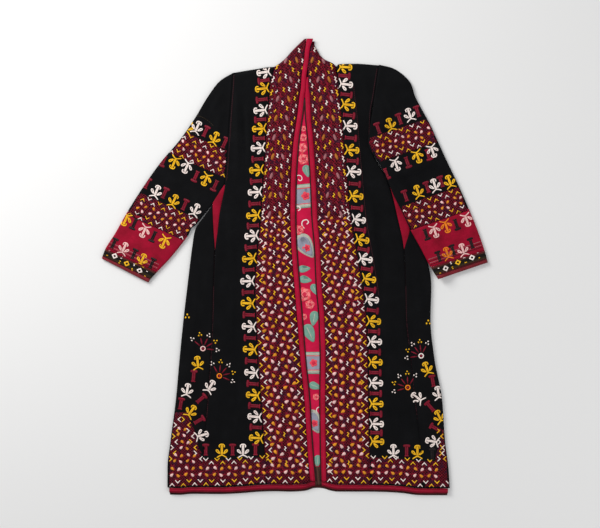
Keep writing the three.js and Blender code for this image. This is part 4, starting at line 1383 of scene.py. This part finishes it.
def cornerWork():
    for shape, colour, x, y, turn in corners:
        put("corners", shape, colour, x, y, math.radians(turn), cornerSize)
    reach, rays = fanShape["reach"], fanShape["rays"]
    for x, y, colour, first, last in fans:
        for k in range(rays):
            a = math.radians(first + (last - first) * k / (rays - 1))
            put("corners", "ray", "maroon", x, y, a)
            put("corners", "dots", pairs[k % 2], x - reach * math.sin(a), y + reach * math.cos(a), a,
                fanShape["dotSize"])
        put("corners", "ringlet", colour, x, y)
        put("corners", "seed", "crimson", x, y, 0, fanShape["seedSize"])


cornerRow = -500                 # row at which the width of a lower corner is taken
cornerField = {                  # inner edge as height and X, then the top
    "left": ([(-562, -224), (-475, -229), (-452, -242), (-410, -252), (-372, -268)], -366),
    "right": ([(-562, 352), (-475, 354), (-440, 364), (-400, 372)], -408),
}
# heights above the hem, pitch of the pinwheels, room at the ends, and rungs beside each pinwheel:
# shift, height, colour
hemChart = {"lower": 20.5, "wheels": 57.5, "upper": 92.5, "wheelPitch": 35.6,
            "openRoom": 8, "endRoom": 6, "firstWheel": 14,
            "rungs": ((17.8, 50, "wine"), (17.8, 66, "plum"), (4, 40, "maroon"), (-6, 74, "wine")),
            "upperSpans": {"left": (-222, -80), "right": (196, 348)}}
# the field up a side fold: foot, rise of its first row, row pitch, columns from the inner edge, and
# how far below the top the rows and the two borders end
foldChart = {"foot": -478, "rise": 34, "pitch": 33, "columns": (30, 62), "spare": 14, "size": 0.92,
             "rowsEnd": 4, "innerEnd": 14, "outerEnd": 10, "outerIn": 2, "rung": (16, 8)}


def hemBand():
    # Zigzag borders and a row of pinwheels above the hem, and a field up the side folds at both corners.
    def hemAt(x):
        return along(hemLine, x, 1)

    room, short = hemChart["openRoom"], hemChart["endRoom"]
    spans = {"left": (hemEnds[0], cutLeft[-1][1] - room), "right": (cutRight[-1][1] + room, hemEnds[1])}
    for side, (start, stop) in spans.items():
        border("hem", lambda x: (x, hemAt(x) + hemChart["lower"], math.pi / 2), start + short, stop - short)
        low, high = hemChart["upperSpans"][side]
        border("hem", lambda x: (x, hemAt(x) + hemChart["upper"], -math.pi / 2), low, high)
        x, k = start + hemChart["firstWheel"], 0
        while x < stop - short:
            pinwheel("hem", x, hemAt(x) + hemChart["wheels"], k % 2, 0.15)
            for shift, height, tone in hemChart["rungs"]:
                put("hem", "rung", tone, x + shift, hemAt(x) + height, 0.4)
            x += hemChart["wheelPitch"]
            k += 1
    for side, (inner, top) in cornerField.items():
        sign = sides[side]["sign"]
        fold = cutAt(side, "side")
        outward = math.pi if sign < 0 else 0
        foot = foldChart["foot"]
        shiftX, shiftY = foldChart["rung"]
        border("hem", lambda y: (along(inner, y, 1), y, outward), foot, top - foldChart["innerEnd"])
        border("hem", lambda y: (fold(y) - sign * foldChart["outerIn"], y, math.pi - outward),
               foot, top - foldChart["outerEnd"], phase=1)
        y, k = hemAt(fold(cornerRow)) + hemChart["wheels"] + foldChart["rise"], 1
        while y < top - foldChart["rowsEnd"]:
            near = along(inner, y, 1)
            for reach in foldChart["columns"]:
                if abs(fold(y) - near) > reach + foldChart["spare"]:
                    pinwheel("hem", near + sign * reach, y, k % 2, 0.1, foldChart["size"])
                    put("hem", "rung", "maroon", near + sign * (reach - shiftX), y + shiftY, 1.2)
            y += foldChart["pitch"]
            k += 1


# sleeve bands: directions across and up the sleeve, the middle of each band, and the figures that
# stand on its two edges: shape, colour, x, y
sleeveBands = {
    "left": {
        "across": (0.91, -0.414), "up": (0.414, 0.91), "centres": [(-247, 290), (-350.6, 134.8)],
        "upward": [
            ("tulip", "yellow", -266, 351), ("tulip", "ivory", -243, 349), ("comb", "maroon", -222, 339),
            ("tulip", "yellow", -199, 322), ("comb", "maroon", -174, 311), ("comb", "maroon", -368, 210),
            ("tulip", "ivory", -345, 189), ("comb", "maroon", -324, 185), ("tulip", "yellow", -301, 166),
            ("comb", "maroon", -274, 156), ("tulip", "ivory", -247, 143)],
        "downward": [
            ("comb", "maroon", -328, 264), ("tulip", "yellow", -301, 260), ("tulip", "ivory", -270, 249),
            ("comb", "maroon", -247, 226), ("tulip", "yellow", -222, 218), ("comb", "maroon", -199, 203),
            ("tulip", "yellow", -422, 118), ("comb", "dark", -401, 107), ("tulip", "pink", -376, 89),
            ("comb", "dark", -353, 76), ("tulip", "yellow", -326, 62)],
    },
    "right": {
        "across": (0.945, 0.326), "up": (-0.326, 0.945), "centres": [(244.9, 307.6), (342.6, 144.1)],
        "upward": [
            ("comb", "maroon", 207, 346), ("tulip", "yellow", 238, 356), ("comb", "maroon", 261, 370),
            ("tulip", "ivory", 286, 381), ("comb", "maroon", 306, 389), ("comb", "maroon", 275, 178),
            ("tulip", "yellow", 307, 189), ("comb", "maroon", 330, 200), ("tulip", "ivory", 349, 205),
            ("comb", "maroon", 365, 214), ("tulip", "yellow", 386, 214)],
        "downward": [
            ("comb", "maroon", 228, 232), ("tulip", "ivory", 253, 255), ("comb", "maroon", 281, 261),
            ("tulip", "yellow", 307, 275), ("comb", "maroon", 333, 280), ("tulip", "ivory", 344, 289),
            ("comb", "dark", 327, 81), ("tulip", "pink", 349, 89), ("tulip", "orange", 378, 101),
            ("comb", "dark", 403, 106), ("tulip", "pink", 429, 117)],
    },
}
bandHalf = 32                    # from the middle of a sleeve band to its edge
# rungs between the pinwheels: pitch, then shift across, height, colour and turn
bandRungs = (17.5, ((8, 10, "wine", 0.4), (4, -10, "plum", -0.5), (2, 22, "wine", 0.5),
                    (-3, -22, "maroon", -0.4)))
bandChart = {"halfRun": 110, "borderSize": 0.9, "rungSize": 0.95, "wheelPitch": 34, "wheelSize": 0.88,
             "figureSize": 0.94}


def onSleeve(side, x, y, margin=3):
    # Whether a place lies between the two folds of the sleeve.
    chords = sleeveChords[side]
    outline = [Vector(chord[:2]) for chord in chords] + [Vector(chord[2:]) for chord in chords[::-1]]
    place = Vector((x, y))
    inside, nearest = False, margin + 1
    for a, b in zip(outline, outline[1:] + outline[:1]):
        if (a.y > y) != (b.y > y) and x < (b.x - a.x) * (y - a.y) / (b.y - a.y) + a.x:
            inside = not inside
        t = min(max((place - a).dot(b - a) / (b - a).length_squared, 0), 1)
        nearest = min(nearest, (place - a - (b - a) * t).length)
    return inside and nearest > margin


def sleeveFrame(side):
    # A function from a centre and distances across and up a sleeve to a place, and the sleeve's lean.
    (ax, ay), (ux, uy) = sleeveBands[side]["across"], sleeveBands[side]["up"]
    return (lambda centre, a, u: (centre[0] + ax * a + ux * u, centre[1] + ay * a + uy * u),
            math.atan2(uy, ux) - math.pi / 2)


def sleeveWork(side):
    setup = sleeveBands[side]
    at, lean = sleeveFrame(side)
    area = f"sleeve_{side}"
    run = bandChart["halfRun"]
    pitch, rungs = bandRungs
    for n, centre in enumerate(setup["centres"]):
        for way in (1, -1):
            inward = lean + math.pi / 2 + (math.pi if way > 0 else 0)
            border(area, lambda a: (*at(centre, a, bandHalf * way), inward), -run, run, way, n,
                   bandChart["borderSize"])
        for k in range(-6, 7):
            for shift, u, tone, turn in rungs:
                place = at(centre, k * pitch + shift, u)
                put(area, "rung", tone, *place, lean + turn, bandChart["rungSize"])
        for k in range(-3, 4):
            place = at(centre, k * bandChart["wheelPitch"], 0)
            pinwheel(area, *place, k % 2, lean, bandChart["wheelSize"])
    for key, turn in (("upward", 0), ("downward", math.pi)):
        for shape, colour, x, y in setup[key]:
            put(area, shape, colour, x, y, lean + turn, bandChart["figureSize"])


# tulips, combs and hollow squares at the wrists: shape, colour, x, y
cuffs = {
    "left": [("comb", "dark", -451, 60), ("tulip", "pink", -426, 47), ("comb", "dark", -401, 33),
             ("tulip", "yellow", -380, 19), ("comb", "dark", -356, 10),
             ("square", "ivory", -449, 28), ("square", "yellow", -419, 9), ("square", "ivory", -387, -9)],
    "right": [("comb", "dark", 358, 27), ("tulip", "orange", 380, 35), ("comb", "dark", 394, 43),
              ("tulip", "pink", 419, 44), ("comb", "dark", 440, 60),
              ("square", "ivory", 376, -3), ("square", "yellow", 407, 12), ("square", "ivory", 442, 24)],
}
# fine rows above the wrist band, and pairs of dashes between the hollow squares
cuffRows = {"heights": (17, 21.5, 26, 31), "colours": ("dark", "rosewood"), "half": 75, "step": 4.6,
            "margin": 4}
cuffDashes = ((6.4, "ivory"), (-6.4, "yellow"))
cuffSizes = {"figure": 0.9, "dash": 0.62}


def cuffWork(side):
    at, lean = sleeveFrame(side)
    area = f"sleeve_{side}"
    for shape, colour, x, y in cuffs[side]:
        put(area, shape, colour, x, y, lean, cuffSizes["figure"])
    squares = [row[2:] for row in cuffs[side] if row[0] == "square"]
    halfGap = math.dist(squares[0], squares[1]) / 2
    for centre in squares:
        for a in (-halfGap, halfGap):
            for up, colour in cuffDashes:
                put(area, "dash", colour, *at(centre, a, up), lean, cuffSizes["dash"])
    for k, up in enumerate(cuffRows["heights"]):
        a = -cuffRows["half"]
        while a <= cuffRows["half"]:
            place = at(squares[1], a, up)
            if onSleeve(side, *place, cuffRows["margin"]):
                put(area, "stitch", cuffRows["colours"][k % 2], *place, lean + math.pi / 2)
            a += cuffRows["step"]


# rows of seam stitches: top and bottom of each armhole, of the side seams, and of the right front's
# extra row with its distance from the strip; then a short arc on the left sleeve
seamRows = {"left": (480, 215), "right": (496, 330), "side": (45, -380), "extra": (450, -70),
            "beside": 3, "apart": 38, "step": 5}
sleeveArc = [(-252, 377), (-236, 376), (-220, 368), (-203, 353)]


def stitched(area, colour, line, size=1.0):
    # One stitch for each step of a line.
    for (x0, y0), (x1, y1) in zip(line, line[1:]):
        turn = math.atan2(y1 - y0, x1 - x0) - math.pi / 2
        put(area, "stitch", colour, (x0 + x1) / 2, (y0 + y1) / 2, turn, size)


def seamStitches():
    # Thin maroon stitching along the armholes and the side seams.
    step = seamRows["step"]
    for side in sides:
        armhole, seam = cutAt(side, "armhole"), cutAt(side, "seam")
        beside = sides[side]["sign"] * seamRows["beside"]
        stitched("seams", "seam", [(armhole(y) - beside, y) for y in rowsBetween(*seamRows[side], step)])
        stitched("seams", "seam", [(seam(y), y) for y in rowsBetween(*seamRows["side"], step)])
    band = cutAt("right", "band")
    extra = [(band(y) + seamRows["apart"], y) for y in rowsBetween(*seamRows["extra"], step)]
    stitched("seams", "seam", extra)
    stitched("sleeve_left", "olive", curve(sleeveArc, 4), 0.9)


ribs = {"step": 2.7, "belowTop": 3, "openIn": 6, "foldIn": 5, "spare": 2}


def braidRibs():
    # Slanted ribs along the edging.
    for side in sides:
        edge, neck, top = cutAt(side, "edge"), neckFold[side], sides[side]["braidTop"]
        for row in rowsBetween(top - ribs["belowTop"], lastRow, ribs["step"]):
            x = along(neck, row, 2) if row > firstRow else edge(row)
            put("braid", "rib", "crimson", x, row if row > firstRow else placed(x, row))
        sign = sides[side]["sign"]
        fold = cutAt(side, "side")
        low, high = sorted((edge(lastRow) - sign * ribs["openIn"], fold(lastRow) - sign * ribs["foldIn"]))
        for x in rowsBetween(low + ribs["spare"], high - ribs["spare"], ribs["step"]):
            put("braid", "rib", "crimson", x, hemMiddle(x, hemPeek), math.pi / 2)


# printed flowers, leaves, paisleys and striped bars of the lining
printLevels = {"edge": 0.06, "top": 0.07}      # heights of a print's rim and face


def printed(name, outline, rings=(0.82, 0.6, 0.36, 0.14)):
    # Flat printed figure with enough rings of points to follow the cloth.
    count = len(outline)
    cx, cy = sum(p[0] for p in outline) / count, sum(p[1] for p in outline) / count
    top = printLevels["top"]
    points = [(x, y, z) for z in (0, printLevels["edge"]) for x, y in outline]
    for scale in rings:
        points += [(cx + (x - cx) * scale, cy + (y - cy) * scale, top) for x, y in outline]
    points.append((cx, cy, top))
    faces = [tuple(range(count))[::-1]]
    for ring in range(len(rings) + 1):
        base = ring * count
        faces += [(base + i, base + (i + 1) % count, base + count + (i + 1) % count, base + count + i)
                  for i in range(count)]
    base = (len(rings) + 1) * count
    faces += [(base + i, base + (i + 1) % count, len(points) - 1) for i in range(count)]
    motifs[name] = motif(name, (points, faces, [(0, 0)] * len(points)))


def scalloped(size, lobes, depth, count=40):
    # Outline of a flower with round lobes.
    ring = []
    for i in range(count):
        a = 2 * math.pi * i / count
        r = size * (1 - depth + depth * abs(math.sin(lobes * a / 2)))
        ring.append((r * math.cos(a), r * math.sin(a)))
    return ring


def barOutline(width, height, count=9):
    # A bar, with points along its length.
    lower = [(-width / 2 + width * i / count, -height / 2) for i in range(count + 1)]
    return lower + [(x, height / 2) for x, _ in lower[::-1]]


printed("bloom", scalloped(13, 5, 0.26))
printed("bloomHeart", scalloped(6.5, 4, 0.3, 24), (0.5,))
printed("petal", egg(0, 0, 13, 7.5, blunt=0.35, sides=14), (0.6,))
printed("leaf", egg(0, 0, 30, 17, blunt=0.45, sides=20))
printed("leafVein", barOutline(1.4, 20), (0.5,))
printed("paisley", egg(0, 0, 68, 40, blunt=0.5, sides=30))
printed("paisleyCore", egg(0, -1, 55, 29, blunt=0.5, sides=28))
printed("bar", barOutline(54, 7.5), (0.4,))
printed("thinBar", barOutline(54, 2.2), (0.4,))
printed("panel", barOutline(54, 40, 11), (0.9, 0.8, 0.65, 0.5, 0.35, 0.2))
motifs["scroll"] = motif("scroll", corded(
    [(-9, -9), (-10, 1), (-4, 8), (5, 6), (6, -1), (0, -3)], 2.5, 0.14, 4))
motifs["curl"] = motif("curl", corded([(-4, -3), (-3, 3), (3, 3.4), (4.4, -2), (0, -4)], 1.6, 0.12))

# each line: centre x, y, turn in degrees, size
roses = [(22, 346, 0, 0.62), (21, 324, 50, 0.85), (19, 298, 20, 1.05), (21, 270, 70, 1.15),
         (11, 93, 10, 1.0), (24, -68, 0, 1.45), (38, -93, 40, 1.0), (23, -124, 80, 0.7), (53, -324, 30, 0.7)]
leaves = [(30, 240, 15, 1.05), (24, -4, 95, 1.0), (27, -31, 80, 1.05), (50, -56, 25, 1.0),
          (48, -128, -10, 1.25), (37, -165, 25, 1.6), (51, -297, 70, 1.05), (57, -484, -5, 1.0)]
scrolls = [(11, 221, -60, 0.9), (7, 144, 20, 1.1), (28, 110, 30, 1.1), (62, -356, 10, 0.8)]
paisleys = [(27, 52, 35, 1.0), (47, -386, 25, 0.92)]
stripedPanels = [(25, 178, 6, 1.0), (45, -239, 0, 0.92)]
# bars of a striped panel: distance from its middle, figure, colour
panelBars = ((24, "bar", "stone"), (28.6, "thinBar", "mint"), (19.4, "thinBar", "coral"))


def liningPrint():
    area = "print"
    for x, y, turn, size in stripedPanels:
        a = math.radians(turn)
        put(area, "panel", "lilac", x, y, a, size)
        for way in (1, -1):
            for offset, shape, colour in panelBars:
                reach = way * offset * size
                put(area, shape, colour, x - reach * math.sin(a), y + reach * math.cos(a), a, size, 1)
        put(area, "bloom", "coral", x + 2, y, 0, 0.85 * size, 2)
        put(area, "bloomHeart", "rose", x + 2, y, 0.4, 0.9 * size, 3)
    for x, y, turn, size in paisleys:
        a = math.radians(turn)
        put(area, "paisley", "stone", x, y, a, size)
        put(area, "paisleyCore", "lilac", x, y, a, size, 1)
        put(area, "bloom", "coral", x + 2, y - 4, 0, 0.8 * size, 2)
        put(area, "bloomHeart", "rose", x + 2, y - 4, 0.5, 0.9 * size, 3)
    for x, y, turn, size in leaves:
        a = math.radians(turn)
        put(area, "leaf", "mint", x, y, a, size)
        put(area, "leafVein", "stone", x, y, a, size, 1)
    for x, y, turn, size in roses:
        a = math.radians(turn)
        put(area, "bloom", "coral", x, y, a, size, 2)
        for k in range(5):
            b = a + k * 2 * math.pi / 5
            reach = 7.6 * size
            petalX, petalY = x + reach * math.cos(b), y + reach * math.sin(b)
            put(area, "petal", "blush", petalX, petalY, b + 0.5, 0.72 * size, 3)
        put(area, "bloomHeart", "rose", x, y, a, size, 4)
        put(area, "curl", "blush", x, y, a + 0.8, 1.1 * size, 5)
    for x, y, turn, size in scrolls:
        put(area, "scroll", "white", x, y, math.radians(turn), size, 1)


# worked grounds: columns and rows, then sizes; the patch itself lies between two heights
patch = {"top": 0.3, "under": 0.02}
bandPatch = {"grid": (46, 13), "width": 232, "height": 64}
hemPatch = {"grid": (40, 12), "from": 17, "height": 69}
cornerPatch = {"grid": (14, 18), "foot": -484, "past": 4, "inner": 3, "outer": 2.5}


def groundPatch(area, name, corner, grid):
    # Worked ground as a thin sheet in the garment's own frame: corner(u, v) gives a place for 0 to 1.
    columns, rows = grid
    sections = []
    for j in range(rows + 1):
        line = [corner(i / columns, j / rows) for i in range(columns + 1)]
        sections.append(tuple([(x, y, z) for x, y in line] for z in (patch["top"], patch["under"])))
    motifs[name] = wallShell(f"motif_{name}", sections)
    put(area, name, "worked", 0, 0, layer=-1)


def workedGrounds():
    # Dark worked cloth under the bands of the sleeves, the hem and its two corners.
    for side, (inner, top) in cornerField.items():
        at, _ = sleeveFrame(side)
        sign = sides[side]["sign"]
        fold = cutAt(side, "side")
        start, end = cutAt(side, "band")(cornerRow), fold(cornerRow)
        foot = cornerPatch["foot"]

        def bandCorner(u, v):
            return at(centre, (u - 0.5) * bandPatch["width"], (v - 0.5) * bandPatch["height"])

        def hemCorner(u, v):
            x = start + (end - start) * u
            return x, along(hemLine, x, 1) + hemPatch["from"] + hemPatch["height"] * v

        def fieldCorner(u, v):
            y = foot + (top + cornerPatch["past"] - foot) * v
            near = along(inner, y, 1) - sign * cornerPatch["inner"]
            return near + (fold(y) - sign * cornerPatch["outer"] - near) * u, y

        for n, centre in enumerate(sleeveBands[side]["centres"]):
            groundPatch(f"sleeve_{side}", f"ground_{side}_{n}", bandCorner, bandPatch["grid"])
        groundPatch("hem", f"groundHem_{side}", hemCorner, hemPatch["grid"])
        groundPatch("hem", f"groundCorner_{side}", fieldCorner, cornerPatch["grid"])


for side in sides:
    lowerField(side)
    upperField(side)
    tulipColumn(side)
    sleeveWork(side)
    cuffWork(side)
cornerWork()
hemBand()
seamStitches()
braidRibs()
workedGrounds()
liningPrint()

grounds = {"sleeve_left": sleeveTop["left"], "sleeve_right": sleeveTop["right"], "print": liningTop,
           "braid": braidTop}
sinks = {"print": (-0.12, -0.1), "stitch": (0.2, 0.15)}     # depth of layer 0, step of each layer
needlework = {}
for area, stitches in work.items():
    first, step = sinks["print" if area == "print" else "stitch"]
    laid = [lay(f"{area}_{shape}_{colour}_{layer}", shape, places, grounds.get(area, bodyTop), colour,
                first + layer * step)
            for (shape, colour, layer), places in stitches.items()]
    needlework[area] = settled(f"work_{area}", laid)
    print(area, "laid:", len(needlework[area].data.polygons), "faces")

for extra in [bodyTop, liningTop, braidTop, *sleeveTop.values(), *motifs.values()]:
    bpy.data.objects.remove(extra)


# riding on the root, and hiding the solids that the cloth replaces
def dress(piece, nodes):
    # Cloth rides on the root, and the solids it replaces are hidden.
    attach(piece, "root")
    if nodes:
        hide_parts(*nodes)


for side in sides:
    front, gore, sleeve = fronts[side], gores[side], sleeves[side]
    edging, hemEdging, selvageAndShadow = braids[side]
    dress(front["strip"], [f"front_strip_{side}"])
    dress(front["neckband"], [f"neckband_{side}"])
    dress(front["panel"], [f"front_panel_{side}"])
    dress(gore, [f"side_gore_{side}"])
    dress(gussets[side], [f"gusset_{side}"])
    dress(sleeve["upper"], [f"sleeve_upper_{side}"])
    dress(sleeve["lower"], [f"sleeve_lower_{side}"])
    dress(sleeve["cuff"], [f"cuff_band_{side}"])
    dress(sleeve["piping"], [f"cuff_piping_{side}"])
    dress(edging, [f"front_edging_{side}"])
    dress(hemEdging, [f"hem_edging_{side}"])
    dress(selvageAndShadow, [])
dress(back["panel"], ["back_panel"])
dress(back["nape"], ["back_neckband"])
dress(back["lining"], ["back_lining"])
dress(back["facing"], ["back_hem_facing"])
dress(backHem, ["hem_edging_back"])
for area, piece in needlework.items():
    dress(piece, [])


# floor, light and camera
studio = {                       # in metres
    "floorSize": 9.0, "floorColour": (0.80, 0.79, 0.77), "sky": (0.86, 0.88, 0.92, 1), "skyStrength": 0.52,
    "cameraHeight": 3.2, "framed": 1.5, "centre": (0.013, 0.008), "sensor": 36, "farthest": 50,
}
lamps = [                        # name, place, size, power
    ("keyLight", (-1.9, 1.7, 1.5), 1.3, 78),
    ("fillLight", (2.2, -1.0, 1.9), 2.2, 25),
]


def makeStudio():
    half = studio["floorSize"] / 2 / mm
    square = [(-half, -half, 0), (half, -half, 0), (half, half, 0), (-half, half, 0)]
    floor = meshPiece("floor", square, [(0, 1, 2, 3)])
    material, _, _ = plainMaterial("floorPaper", studio["floorColour"], 0.9)
    floor.data.materials.append(material)
    world = bpy.data.worlds.new("studioWorld")
    world.use_nodes = True
    sky = world.node_tree.nodes["Background"]
    sky.inputs["Color"].default_value = studio["sky"]
    sky.inputs["Strength"].default_value = studio["skyStrength"]
    bpy.context.scene.world = world
    for name, place, size, power in lamps:
        light = bpy.data.lights.new(name, "AREA")
        light.size = size
        light.energy = power
        lamp = bpy.data.objects.new(name, light)
        lamp.location = place
        lamp.rotation_euler = (-Vector(place)).to_track_quat("-Z", "Y").to_euler()
        bpy.context.collection.objects.link(lamp)
    camera = bpy.data.cameras.new("overhead")
    camera.sensor_width = studio["sensor"]
    camera.lens = camera.sensor_width * studio["cameraHeight"] / studio["framed"]
    camera.clip_end = studio["farthest"]
    stand = bpy.data.objects.new("overhead", camera)
    stand.location = (*studio["centre"], studio["cameraHeight"])
    bpy.context.collection.objects.link(stand)
    bpy.context.scene.camera = stand
    bpy.context.scene.view_settings.view_transform = "Standard"


makeStudio()
print("studio ready")
